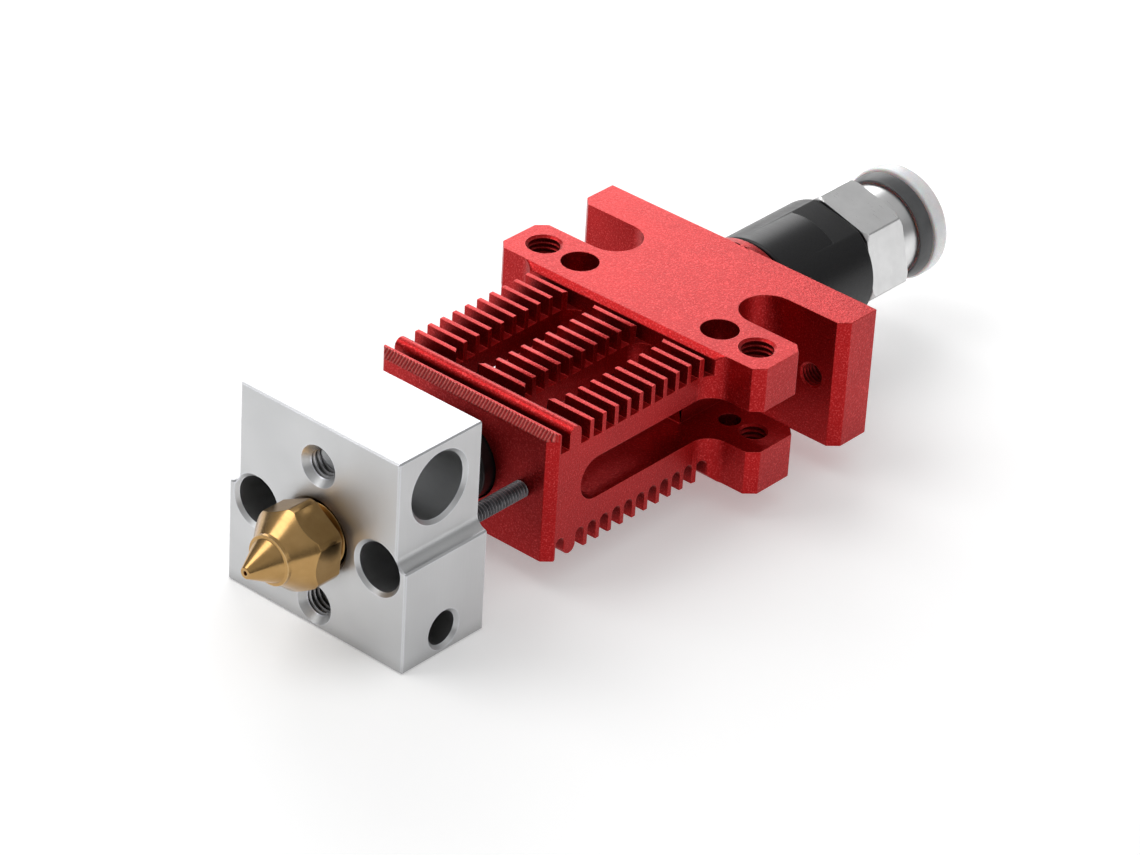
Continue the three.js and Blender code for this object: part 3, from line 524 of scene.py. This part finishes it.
def heat_sink():
    wide = WING_SIDE + OVER
    plan = slab("plan", lay(sink_plan(), -FIN_FOOT), (0, 0, THICK + FIN_FOOT))
    sink = slab("heat_sink_body", stand(sink_side(), -wide), (2 * wide, 0, 0))
    carve(sink, plan, how="INTERSECT")
    boss = [(0, WING_END - OVER), (BOSS, WING_END - OVER), (BOSS, BOSS_END - BOSS_CHAMFER)]
    boss += [(BOSS - BOSS_CHAMFER, BOSS_END), (0, BOSS_END)]
    carve(sink, spun("boss", boss, ring=False), how="UNION")
    slot = [(PLATE_START, -SLOT_HALF), (PLATE_START, SLOT_HALF)]
    slot += arc((SLOT_START + SLOT_HALF, 0), SLOT_HALF, 90, 270, 2 * ARC)
    carve(sink, slab("slot", stand(slot, -wide), (2 * wide, 0, 0)))
    middle = (COLUMN / 2 + COLUMN_SIDE - COLUMN) / 2
    radius = (COLUMN_SIDE - COLUMN - COLUMN / 2) / 2
    front = RIB_END + FIN_GAP / 2 + radius
    for hand in (-1, 1):
        window = arc((hand * middle, front), radius, 180, 360)
        window += arc((hand * middle, PLATE_START - radius), radius, 0, 180)
        carve(sink, slab("window", lay(window, -THICK - OVER), (0, 0, 2 * (THICK + OVER))))
        sides = sorted((hand * POCKET_INNER, hand * wide))
        low = (sides[0], PLATE_START - OVER, -SLOT_HALF)
        carve(sink, block_box("pocket", low, (sides[1], EAR_END + OVER, SLOT_HALF)))
    between = (OUTER_HOLE_X + INNER_HOLE_X) / 2
    for x in (-between, 0, between):
        edit(sink)
        bpy.ops.mesh.bisect(plane_co=at(x, 0, 0), plane_no=(1, 0, 0))
        object_mode()
    line = [(0, -OVER), (SLEEVE_SEAT, -OVER), (SLEEVE_SEAT, SLEEVE_SEAT_DEPTH)]
    line += [(TUBE_BORE, SLEEVE_SEAT_DEPTH), (TUBE_BORE, SPIGOT_FLOOR)]
    line += [(SPIGOT_BORE, SPIGOT_FLOOR), (SPIGOT_BORE, BOSS_END + OVER), (0, BOSS_END + OVER)]
    carve(sink, spun("bore", line, FINE_STEPS, ring=False))
    end = THICK + OVER
    threads = []
    for hand in (-1, 1):
        place = (hand * SCREW_X, 0, 0)
        carve(sink, tapped(SCREW_CORE, SCREW + SCREW_GAP, SCREW_PITCH, -OVER, SCREW_HOLE_END,
                           "y", place))
        threads.append(("y", place, SCREW + SCREW_GAP + GROOVE_REACH))
        place = (hand * OUTER_HOLE_X, EAR_HOLE_Y, 0)
        carve(sink, tapped(EAR_HOLE_CORE, EAR_HOLE, THREAD_PITCH, HOLE_START, end, "z", place))
        threads.append(("z", place, EAR_HOLE + GROOVE_REACH))
        place = (hand * LOWER_OUTER_X, EAR_HOLE_Y, 0)
        carve(sink, tapped(LOWER_OUTER_CORE, LOWER_OUTER_HOLE, THREAD_PITCH, -end, -HOLE_START,
                           "z", place))
        threads.append(("z", place, LOWER_OUTER_HOLE + GROOVE_REACH))
        plain = ((INNER_HOLE_X, EAR_HOLE, HOLE_START), (LOWER_INNER_X, LOWER_INNER_HOLE, -end))
        length = end - HOLE_START
        for x, radius, start in plain:
            line = [(0, 0), (radius, 0), (radius, length), (0, length)]
            carve(sink, turned("hole", line, SMALL_STEPS, "z", (hand * x, EAR_HOLE_Y, start)))
        place = (hand * WING_HOLE_X, 0, 0)
        carve(sink, tapped(WING_HOLE_CORE, WING_HOLE, WING_PITCH, WING_START - OVER,
                           WING_END + OVER, "y", place))
        threads.append(("y", place, WING_HOLE + GROOVE_REACH))
    soften(sink, SINK_EDGE, threads=threads)
    return shade(sink)


# ---- Heater block and its screws ----------------------------------------------------------------
def mouth(radius, depth, chamfer=HOLE_CHAMFER):
    """A blind hole's cutter with a chamfered mouth, measured inwards from the face."""
    line = [(0, -OVER), (radius + chamfer + OVER, -OVER), (radius, chamfer), (radius, depth)]
    return line + [(0, depth)]


def flipped(profile, place):
    return [(radius, place - along) for radius, along in reversed(profile)]


def heater_block():
    fillet = BASE_SIDE - TOP_SIDE
    half = [(BASE_SIDE, BLOCK_BASE)] + arc((BASE_SIDE, STEP + fillet), fillet, -90, -180)
    half += [(TOP_SIDE, BLOCK_TOP)]
    outline = half + [(-x, z) for x, z in reversed(half)]
    depth = BLOCK_BACK - BLOCK_FRONT
    block = slab("heater_block_body", [at(x, BLOCK_FRONT, z) for x, z in outline], (0, depth, 0))
    edit(block, "DESELECT")
    bpy.ops.mesh.select_mode(type="EDGE")
    bpy.ops.mesh.edges_select_sharp(sharpness=math.radians(50))
    bpy.ops.mesh.bevel(offset=BLOCK_CHAMFER * MM, segments=1, clamp_overlap=True)
    object_mode()
    for side, z, radius in ((TOP_SIDE, HEATER_Z, HEATER_BORE), (BASE_SIDE, SENSOR_Z, SENSOR_BORE)):
        deep = side + OVER / 2
        place = (-side, BLOCK_MIDDLE, z)
        carve(block, turned("bore", mouth(radius, deep), FINE_STEPS, "x", place))
        place = (0, BLOCK_MIDDLE, z)
        carve(block, turned("bore", flipped(mouth(radius, deep), side), FINE_STEPS, "x", place))
    line = mouth(NOZZLE_HOLE, depth / 2 + OVER)
    carve(block, turned("bore", line, FINE_STEPS, "y", (0, BLOCK_FRONT, 0)))
    carve(block, turned("bore", flipped(line, 0), FINE_STEPS, "y", (0, BLOCK_BACK, 0)))
    for hand in (-1, 1):
        line = mouth(HEAD_BORE, HEAD_BORE_DEPTH)[:-1]
        line += [(SCREW_HOLE, HEAD_BORE_DEPTH), (SCREW_HOLE, depth + OVER), (0, depth + OVER)]
        place = (hand * SCREW_X, BLOCK_FRONT, 0)
        carve(block, turned("bore", line, SMALL_STEPS, "y", place))
    for z in (HEATER_Z, SENSOR_Z):
        end = BLOCK_MIDDLE - BLOCK_FRONT
        place = (0, BLOCK_FRONT, z)
        line = mouth(SET_HOLE_CORE, 1.0, SET_COUNTERSINK - SET_HOLE_CORE)
        carve(block, turned("mouth", line, SMALL_STEPS, "y", place))
        carve(block, tapped(SET_HOLE_CORE, SET_HOLE, THREAD_PITCH, -OVER, end, "y", place))
    return shade(block, 28)


def standoff_screw():
    """The right screw: a threaded shank with a socket head."""
    centre = (SCREW_X, 0, 0)
    start, end = HEAD_BACK - HEAD_LAP, SCREW_END - SCREW_PITCH
    shank = threaded("standoff_screw_right_body", SCREW_CORE, SCREW, SCREW_PITCH, start, end,
                     "y", centre)
    line = [(0, HEAD_FRONT), (HEAD - HEAD_EDGE, HEAD_FRONT), (HEAD, HEAD_FRONT + HEAD_EDGE)]
    line += [(HEAD, HEAD_BACK), (0, HEAD_BACK)]
    head = turned("head", line, SMALL_STEPS, "y", centre)
    corner = HEAD_SOCKET / math.sqrt(3)
    angles = [math.tau * i / 6 for i in range(6)]
    spots = [(corner * math.cos(a), corner * math.sin(a)) for a in angles]
    points = [at(SCREW_X + x, HEAD_FRONT - OVER, z) for x, z in spots]
    carve(head, slab("socket", points, (0, OVER + SOCKET_DEPTH, 0)))
    carve(shank, head, how="UNION")
    return shade(shank)


def other_hand(piece, name, across):
    """A copy with its own mesh, moved to the other side."""
    pick(piece)
    bpy.ops.object.duplicate()
    twin = bpy.context.object
    twin.name = twin.data.name = name
    edit(twin)
    bpy.ops.transform.translate(value=(-2 * across * MM, 0, 0))
    object_mode()
    return twin


# ---- Nozzle and heat break ----------------------------------------------------------------------
def nozzle():
    lead = NOZZLE_LEAD
    profile = [(ORIFICE, TIP), (NOZZLE_TIP, TIP), (NOZZLE_TIP_BASE, TIP_BASE)]
    profile += [(NOZZLE_SHOULDER, TIP_BASE + NOZZLE_RING_STEP), (NOZZLE_SHOULDER, RING_FRONT)]
    profile += [(NOZZLE_TURNED, HEX_FRONT), (NOZZLE_TURNED, HEX_BACK), (NOZZLE_RELIEF, HEX_BACK)]
    profile += [(NOZZLE_RELIEF, NOZZLE_RELIEF_END), (NOZZLE_THREAD, NOZZLE_RELIEF_END + lead)]
    profile += [(NOZZLE_THREAD, NOZZLE_BACK - lead), (NOZZLE_THREAD - lead, NOZZLE_BACK)]
    profile += [(FILAMENT_BORE, NOZZLE_BACK), (FILAMENT_BORE, ORIFICE_CONE_END)]
    profile += [(ORIFICE, ORIFICE_END)]
    piece = spun("nozzle_body", profile, STEPS)
    carve(piece, hexagon("hexagon", NOZZLE_HEX, NOZZLE_TURN, TIP - OVER, NOZZLE_BACK + OVER),
          how="INTERSECT")
    soften(piece, NOZZLE_EDGE)
    return shade(piece, 28)


def heat_break_throat():
    front, back = THROAT_LOW.y - FRONT, THROAT_HIGH.y - FRONT
    profile = [(FILAMENT_BORE, front), (THROAT_LEAD_RADIUS, front)]
    profile += [(NOZZLE_THREAD, front + THROAT_LEAD), (NOZZLE_THREAD, THROAT_SHOULDER_START)]
    profile += [(THROAT_SHOULDER, THROAT_NECK_START), (THROAT_NECK, THROAT_NECK_START)]
    profile += [(THROAT_NECK, THROAT_NECK_END), (THROAT_FLANGE, THROAT_NECK_END)]
    profile += [(THROAT_FLANGE, back), (TUBE_BORE, back), (TUBE_BORE, TUBE_STOP)]
    profile += [(FILAMENT_BORE, TUBE_CONE_START)]
    piece = spun("heat_break_throat_body", profile, FINE_STEPS)
    soften(piece, THROAT_EDGE)
    return shade(piece)


def heat_break_sleeve():
    front, back = SLEEVE_LOW.y - FRONT, SLEEVE_HIGH.y - FRONT
    outer, bore = SLEEVE_HIGH.x, SLEEVE_BORE
    piece = spun("heat_break_sleeve_body",
                 [(bore, front), (outer, front), (outer, back), (bore, back)], FINE_STEPS)
    soften(piece, SLEEVE_EDGE, 3)
    return shade(piece)


# ---- Collar, fitting and release ring -----------------------------------------------------------
def tube_collar():
    edge = COLLAR_EDGE
    profile = [(SPIGOT, SPIGOT_START), (SPIGOT, COLLAR_START), (COLLAR - edge, COLLAR_START)]
    profile += [(COLLAR, COLLAR_START + edge), (COLLAR, COLLAR_END - edge)]
    profile += [(COLLAR - edge, COLLAR_END), (COLLAR_BORE, COLLAR_END)]
    profile += [(COLLAR_BORE, COLLAR_BORE_START), (TUBE_BORE, COLLAR_BORE_START)]
    profile += [(TUBE_BORE, SPIGOT_START)]
    piece = spun("tube_adaptor_body", profile, STEPS)
    inner, wide = COLLAR - FLAT_DEPTH, COLLAR + OVER
    corners = [(inner, -wide), (wide, -wide), (wide, wide), (inner, wide)]
    for turn in (FLAT_TURN, FLAT_TURN + math.pi):
        across, up = math.cos(turn), math.sin(turn)
        points = [at(across * a - up * b, COLLAR_END - FLAT_LENGTH, up * a + across * b)
                  for a, b in corners]
        carve(piece, slab("flat", points, (0, FLAT_LENGTH + OVER, 0)))
    soften(piece, COLLAR_SOFTENING)
    return shade(piece, 28)


def fitting():
    start, end = FITTING_HEX_START, FITTING_HEX_END
    profile = [(TUBE_BORE, FITTING_START), (FITTING_THREAD, FITTING_START), (FITTING_THREAD, start)]
    profile += [(FITTING_TURNED - FITTING_EDGE, start), (FITTING_TURNED, start + FITTING_EDGE)]
    profile += [(FITTING_TURNED, end - FITTING_EDGE), (FITTING_TURNED - FITTING_EDGE, end)]
    profile += [(FITTING_NECK, end)]
    rim = FITTING_RIM
    profile += arc((FITTING_NECK - rim, FITTING_END - rim), rim, 0, 90, 6)
    profile += [(FITTING_CHAMBER, FITTING_END), (FITTING_CHAMBER, FITTING_FLOOR)]
    profile += [(TUBE_BORE, FITTING_FLOOR)]
    piece = spun("fitting_body_shell", profile, STEPS)
    low, high = FITTING_START - OVER, FITTING_END + OVER
    carve(piece, hexagon("hexagon", FITTING_HEX, FITTING_TURN, low, high), how="INTERSECT")
    soften(piece, FITTING_SOFTENING)
    return shade(piece, 28)


def release_ring():
    front, back, mouth_round = RING_FRONT_ROUND, RING_BACK_ROUND, RING_MOUTH_ROUND
    profile = [(RING_BORE, STEM_START), (STEM, STEM_START), (STEM, RING_START)]
    profile += arc((RING - front, RING_START + front), front, -90, 0, 4)
    profile += arc((RING - back, RING_END - back), back, 0, 90, 6)
    profile += arc((RING_BORE + mouth_round, RING_END - mouth_round), mouth_round, 90, 180, 6)
    piece = spun("release_ring_body", profile, STEPS)
    soften(piece, SMALL_EDGE)
    return shade(piece)


def release_skirt():
    profile = [(SKIRT_BORE, SKIRT_START), (SKIRT_BORE + SKIRT_LIP, SKIRT_START)]
    profile += [(SKIRT, SKIRT_END - SKIRT_CHAMFER), (SKIRT - SKIRT_CHAMFER, SKIRT_END)]
    profile += [(SKIRT_BORE, SKIRT_END)]
    piece = spun("release_skirt_body", profile, STEPS)
    soften(piece, SMALL_EDGE)
    return shade(piece)


# ---- Finishes -----------------------------------------------------------------------------------
class Term:
    """One value in a finish's node tree. Arithmetic on it adds Math nodes."""

    def __init__(self, finish, socket):
        self.finish = finish
        self.socket = socket

    def math(self, operation, *values):
        return self.finish.node("Math", {"operation": operation}, dict(enumerate(values)))

    def __add__(self, other):
        return self.math("ADD", self, other)

    def __sub__(self, other):
        return self.math("SUBTRACT", self, other)

    def __rsub__(self, other):
        return self.math("SUBTRACT", other, self)

    def __mul__(self, other):
        return self.math("MULTIPLY", self, other)

    def __truediv__(self, other):
        return self.math("DIVIDE", self, other)

    def __pow__(self, other):
        return self.math("POWER", self, other)

    __radd__ = __add__
    __rmul__ = __mul__


class Finish:
    """A procedural finish: a Principled shader and the nodes that feed it."""

    def __init__(self, name, colour, **constants):
        self.material = bpy.data.materials.new(name)
        self.material.use_nodes = True
        self.tree = self.material.node_tree
        self.tree.nodes.clear()
        self.shader = self.tree.nodes.new("ShaderNodeBsdfPrincipled")
        output = self.tree.nodes.new("ShaderNodeOutputMaterial")
        self.tree.links.new(self.shader.outputs[0], output.inputs["Surface"])
        self.shader.inputs["Base Color"].default_value = (*colour, 1)
        self.material.diffuse_color = (*colour, 1)
        for key, value in constants.items():
            self.shader.inputs[key.replace("_", " ")].default_value = value
        self.place = self.node("VectorMath", {"operation": "SCALE"},
                               {0: self.node("TexCoord", output="Object"), "Scale": 1 / MM})

    def node(self, kind, settings=None, inputs=None, output=0):
        """Any node: its settings first, then the values or links of its sockets."""
        made = self.tree.nodes.new("ShaderNode" + kind)
        for key, value in (settings or {}).items():
            if key == "stops":
                ramp = made.color_ramp
                while len(ramp.elements) < len(value):
                    ramp.elements.new(0.5)
                for element, (place, colour) in zip(ramp.elements, value):
                    element.position = place
                    element.color = (*colour, 1) if len(colour) == 3 else colour
            else:
                setattr(made, key, value)
        for key, value in (inputs or {}).items():
            self.feed(made.inputs[key], value)
        return Term(self, made.outputs[output])

    def feed(self, socket, value):
        if isinstance(value, Term):
            self.tree.links.new(value.socket, socket)
        elif hasattr(value, "__len__") and len(value) == 3 and socket.type == "RGBA":
            socket.default_value = (*value, 1)
        else:
            socket.default_value = value

    def shape(self, **sockets):
        """Feeds the shader's own sockets."""
        for key, value in sockets.items():
            self.feed(self.shader.inputs[key.replace("_", " ")], value)
        return self

    def noise(self, scale, detail=3, roughness=0.55, stretch=(1, 1, 1)):
        """Fractal noise of about scale bumps per millimetre, from 0 to 1."""
        place = self.node("Mapping", None, {"Vector": self.place, "Scale": stretch})
        inputs = {"Vector": place, "Scale": scale, "Detail": detail, "Roughness": roughness}
        return self.node("TexNoise", None, inputs)

    def ramp(self, value, low, high, start=0.0, end=1.0):
        """The value carried from low..high to start..end, held at the ends."""
        inputs = {"Value": value, 1: low, 2: high, 3: start, 4: end}
        return self.node("MapRange", {"clamp": True}, inputs)

    def blend(self, factor, first, second, how="MIX"):
        """Two colours mixed."""
        settings = {"data_type": "RGBA", "blend_type": how}
        return self.node("Mix", settings, {0: factor, 6: first, 7: second}, output=2)

    def bump(self, height, distance, strength=1.0, normal=None):
        inputs = {"Height": height, "Distance": distance * MM, "Strength": strength}
        if normal:
            inputs["Normal"] = normal
        return self.node("Bump", None, inputs)

    def edges(self, radius, low=0.01, high=0.12):
        """1 along the edges and 0 on the flats."""
        bent = self.node("Bevel", {"samples": 6}, {"Radius": radius * MM})
        flat = self.node("NewGeometry", output="Normal")
        agree = self.node("VectorMath", {"operation": "DOT_PRODUCT"}, {0: bent, 1: flat}, "Value")
        return self.ramp(1 - agree, low, high)


    def hollow_shade(self, distance, low=0.2, high=0.7):
        """Mask for painted shade: 1 deep inside holes and slots and 0 in the open, from ambient
        occlusion.
        """
        inputs = {"Distance": distance * MM}
        open_share = self.node("AmbientOcclusion", {"samples": 4}, inputs, "AO")
        return self.ramp(open_share, low, high, 1, 0)


def satin_aluminium():
    finish = Finish("satin_aluminium", (0.64, 0.645, 0.645), Metallic=1.0)
    cloud = finish.noise(0.12, 2)
    streak = finish.noise(1.2, 4, 0.6, (0.25, 4.0, 0.25))
    fine = finish.noise(5.0, 3, 0.6, (0.3, 3.0, 0.3))
    edge = finish.edges(0.3, 0.02, 0.15)
    tone = finish.blend(finish.ramp(cloud, 0.3, 0.7), (0.55, 0.555, 0.56), (0.61, 0.615, 0.62))
    # Painted highlight: a lighter, bluer tone along the chamfers and edges.
    tone = finish.blend(edge * 0.8, tone, (0.82, 0.83, 0.9))
    # Painted shade: a dark tone deep inside the bores and holes.
    tone = finish.blend(finish.hollow_shade(3.0) * 0.85, tone, (0.12, 0.11, 0.105))
    rough = finish.ramp(streak, 0.3, 0.7, 0.36, 0.45) - edge * 0.1
    return finish.shape(Base_Color=tone, Roughness=rough,
                        Normal=finish.bump(fine + streak, 0.004, 0.5))


def red_anodised():
    finish = Finish("red_anodised", (0.42, 0.012, 0.014), Metallic=0.92, Coat_Roughness=0.35,
                    Coat_IOR=1.5)
    cloud = finish.noise(0.15, 3)
    grain = finish.noise(4.5, 3, 0.6)
    glint_speck = finish.noise(7.0, 2, 0.6)
    edge = finish.edges(0.14, 0.02, 0.25)
    tone = finish.blend(finish.ramp(cloud, 0.3, 0.7), (0.35, 0.005, 0.006), (0.43, 0.008, 0.009))
    # Painted glints: bright red specks scattered over the grain.
    tone = finish.blend(finish.ramp(glint_speck, 0.52, 0.68) * 0.5, tone, (0.85, 0.09, 0.09))
    tone = finish.blend(finish.ramp(grain, 0.5, 0.32) * 0.35, tone, (0.26, 0.004, 0.005))
    # Lighter red along the edges: partly worn anodise, partly a painted highlight.
    tone = finish.blend(edge * 0.55, tone, (0.85, 0.12, 0.1))
    # Painted shade: a dark red deep inside the holes, slots and windows.
    tone = finish.blend(finish.hollow_shade(3.0, 0.15, 0.6) * 0.8, tone, (0.13, 0.003, 0.004))
    rough = finish.ramp(grain, 0.3, 0.7, 0.3, 0.44)
    ribs = finish.node("TexWave", {"wave_type": "BANDS", "bands_direction": "X"},
                       {"Vector": finish.place, "Scale": 0.9, "Distortion": 1.2, "Detail": 1.0,
                        "Detail Scale": 3.0})
    spot = finish.node("SeparateXYZ", None, {0: finish.place}, output="Y")
    rise = finish.node("SeparateXYZ", None, {0: finish.place}, output="Z")
    back, low = FRONT + FRONT_CHAMFER, AXIS + THICK - FRONT_CHAMFER
    fade = 0.1
    on_edge = finish.ramp(spot, back, back + fade, 1, 0) * finish.ramp(rise, low - fade, low)
    tone = finish.blend(on_edge * ribs * 0.5, tone, (0.9, 0.25, 0.22))
    height = grain + glint_speck * 0.5 + ribs * on_edge * 4.0
    return finish.shape(Base_Color=tone, Roughness=rough,
                        Coat_Weight=finish.ramp(grain, 0.3, 0.7, 0.05, 0.14),
                        Normal=finish.bump(height, 0.035, 0.85))


def nozzle_brass():
    finish = Finish("nozzle_brass", (0.78, 0.46, 0.16), Metallic=1.0)
    lines = finish.noise(3.0, 3, 0.6, (0.2, 6.0, 0.2))
    cloud = finish.noise(0.5, 3)
    edge = finish.edges(0.12)
    tone = finish.blend(finish.ramp(cloud, 0.3, 0.7), (0.4, 0.235, 0.085), (0.5, 0.31, 0.125))
    # Painted highlight: a lighter brass along the hex edges and chamfers.
    tone = finish.blend(edge * 0.7, tone, (0.9, 0.7, 0.42))
    rough = finish.ramp(lines, 0.3, 0.7, 0.17, 0.27)
    return finish.shape(Base_Color=tone, Roughness=rough, Normal=finish.bump(lines, 0.004, 0.5))


def throat_metal():
    finish = Finish("throat_metal", (0.5, 0.48, 0.46), Metallic=1.0)
    lines = finish.noise(4.0, 3, 0.6, (0.2, 5.0, 0.2))
    tone = finish.blend(finish.ramp(lines, 0.3, 0.7), (0.42, 0.4, 0.38), (0.55, 0.53, 0.51))
    rough = finish.ramp(lines, 0.3, 0.7, 0.25, 0.38)
    return finish.shape(Base_Color=tone, Roughness=rough, Normal=finish.bump(lines, 0.004, 0.4))


def dark_steel():
    finish = Finish("dark_steel", (0.16, 0.16, 0.165), Metallic=1.0)
    cloud = finish.noise(2.0, 3)
    edge = finish.edges(0.06)
    tone = finish.blend(finish.ramp(cloud, 0.3, 0.7), (0.11, 0.11, 0.115), (0.2, 0.2, 0.21))
    tone = finish.blend(edge * 0.6, tone, (0.6, 0.6, 0.62))
    rough = finish.ramp(cloud, 0.3, 0.7, 0.28, 0.4)
    return finish.shape(Base_Color=tone, Roughness=rough, Normal=finish.bump(cloud, 0.006, 0.4))


def black_anodised():
    finish = Finish("black_anodised", (0.018, 0.018, 0.019), Metallic=0.4, Coat_Roughness=0.25)
    grain = finish.noise(10.0, 2, 0.5)
    lines = finish.noise(2.0, 3, 0.6, (0.2, 5.0, 0.2))
    edge = finish.edges(0.12)
    tone = finish.blend(finish.ramp(grain, 0.3, 0.7), (0.007, 0.007, 0.008), (0.016, 0.016, 0.017))
    tone = finish.blend(edge * 0.35, tone, (0.25, 0.25, 0.26))
    rough = finish.ramp(lines, 0.3, 0.7, 0.3, 0.42)
    return finish.shape(Base_Color=tone, Roughness=rough,
                        Normal=finish.bump(grain + lines, 0.005, 0.5))


def nickel_plate():
    finish = Finish("nickel_plate", (0.84, 0.83, 0.81), Metallic=1.0)
    lines = finish.noise(2.5, 3, 0.6, (0.2, 5.0, 0.2))
    cloud = finish.noise(0.5, 2)
    edge = finish.edges(0.15)
    tone = finish.blend(finish.ramp(cloud, 0.3, 0.7), (0.68, 0.68, 0.68), (0.76, 0.76, 0.76))
    # Painted highlight: a near-white tone along the hex edges.
    tone = finish.blend(edge * 0.6, tone, (0.97, 0.97, 0.97))
    rough = finish.ramp(lines, 0.3, 0.7, 0.27, 0.37)
    return finish.shape(Base_Color=tone, Roughness=rough, Normal=finish.bump(lines, 0.003, 0.4))


def moulded(name, low, high, rough_low, rough_high, **constants):
    """A moulded plastic or rubber, from its darker to its lighter tone."""
    finish = Finish(name, high, **constants)
    cloud = finish.noise(1.0, 3)
    grain = finish.noise(14.0, 2, 0.5)
    tone = finish.blend(finish.ramp(cloud, 0.3, 0.7), low, high)
    rough = finish.ramp(grain, 0.3, 0.7, rough_low, rough_high)
    return finish.shape(Base_Color=tone, Roughness=rough, Normal=finish.bump(grain, 0.003, 0.4))


FINISHES = {
    "satin_aluminium": satin_aluminium(),
    "red_anodised": red_anodised(),
    "nozzle_brass": nozzle_brass(),
    "throat_metal": throat_metal(),
    "dark_steel": dark_steel(),
    "black_anodised": black_anodised(),
    "nickel_plate": nickel_plate(),
    "seal_rubber": moulded("seal_rubber", (0.01, 0.01, 0.01), (0.02, 0.02, 0.02), 0.5, 0.65),
    "grey_plastic": moulded("grey_plastic", (0.07, 0.072, 0.074), (0.09, 0.092, 0.095), 0.32, 0.42),
    "white_plastic": moulded("white_plastic", (0.8, 0.81, 0.82), (0.86, 0.87, 0.88), 0.22, 0.32,
                             Subsurface_Weight=0.35, Subsurface_Scale=0.002),
}

# ---- Pieces on their bodies ---------------------------------------------------------------------
right_screw = standoff_screw()
left_screw = other_hand(right_screw, "standoff_screw_left_body", SCREW_X)
PIECES = [
    (heat_sink(), "hotend", "red_anodised", "heat_sink"),
    (heater_block(), "hotend", "satin_aluminium", "heater_block"),
    (nozzle(), "hotend", "nozzle_brass", "nozzle"),
    (heat_break_throat(), "hotend", "throat_metal", "heat_break_throat"),
    (heat_break_sleeve(), "hotend", "black_anodised", "heat_break_sleeve"),
    (left_screw, "hotend", "dark_steel", "standoff_screw_left"),
    (right_screw, "hotend", "dark_steel", "standoff_screw_right"),
    (tube_collar(), "hotend", "black_anodised", "tube_adaptor"),
    (fitting(), "hotend", "nickel_plate", "fitting_body"),
    (release_ring(), "release_button", "white_plastic", "release_ring"),
    (release_skirt(), "release_button", "grey_plastic", "release_skirt"),
]
for piece, body, slot, node in PIECES:
    piece.data.materials.clear()
    piece.data.materials.append(FINISHES[slot].material)
    mount(piece, body, slot, node)

SLOT_OF = {"tube_seal": "seal_rubber", "seal_spacer": "grey_plastic", "claw_ring": "nickel_plate",
           "claw_retainer": "nozzle_brass"}
for name, slot in SLOT_OF.items():
    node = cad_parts[name]
    node.data.materials.clear()
    node.data.materials.append(FINISHES[slot].material)

# ---- Floor, light and camera --------------------------------------------------------------------
object_mode()
bpy.ops.object.select_all(action="DESELECT")
bpy.ops.mesh.primitive_plane_add(size=6)
floor = bpy.context.object
floor.name = "floor"
paper = Finish("floor_paper", (0.9, 0.9, 0.9), Roughness=0.9, Emission_Color=(1, 1, 1, 1),
               Emission_Strength=0.3)
floor.data.materials.append(paper.material)

world = bpy.data.worlds.new("studio")
bpy.context.scene.world = world
world.use_nodes = True
sky = world.node_tree
heading = sky.nodes.new("ShaderNodeTexCoord")
height = sky.nodes.new("ShaderNodeSeparateXYZ")
shades = sky.nodes.new("ShaderNodeValToRGB")
shades.color_ramp.elements[0].position = 0.02
shades.color_ramp.elements[0].color = (0.16, 0.16, 0.165, 1)
shades.color_ramp.elements[1].position = 0.6
shades.color_ramp.elements[1].color = (0.75, 0.75, 0.75, 1)
sky.links.new(heading.outputs["Generated"], height.inputs[0])
sky.links.new(height.outputs["Z"], shades.inputs[0])
sky.links.new(shades.outputs[0], sky.nodes["Background"].inputs["Color"])
sky.nodes["Background"].inputs["Strength"].default_value = 0.7

MIDDLE = at(0, 15, 0)  # what the lights face


def softbox(name, direction, distance, size, power, colour=(1, 1, 1)):
    """A square area light that faces the middle of the part."""
    light = bpy.data.lights.new(name, "AREA")
    light.shape = "SQUARE"
    light.size = size
    light.energy = power
    light.color = colour
    lamp = bpy.data.objects.new(name, light)
    bpy.context.scene.collection.objects.link(lamp)
    away = Vector(direction).normalized()
    lamp.location = MIDDLE + away * distance
    lamp.rotation_euler = (-away).to_track_quat("-Z", "Y").to_euler()
    return lamp


softbox("back_softbox", (-0.7, 0.58, 0.42), 0.32, 0.22, 0.42)
softbox("key_softbox", (-0.5, -0.35, 0.9), 0.6, 0.35, 1.15)
softbox("side_softbox", (0.9, 0.1, 0.35), 0.7, 0.35, 0.25)

camera = bpy.data.cameras.new("camera")
camera.lens = 152.75
camera.sensor_width = 36
camera.clip_start = 0.01
camera.clip_end = 20
eye = bpy.data.objects.new("camera", camera)
bpy.context.scene.collection.objects.link(eye)
eye.location = at(226.92, -258.93, 215.37)
eye.rotation_euler = [math.radians(turn) for turn in (58.335, -2.992, 41.586)]
bpy.context.scene.camera = eye
bpy.context.scene.view_settings.view_transform = "Standard"
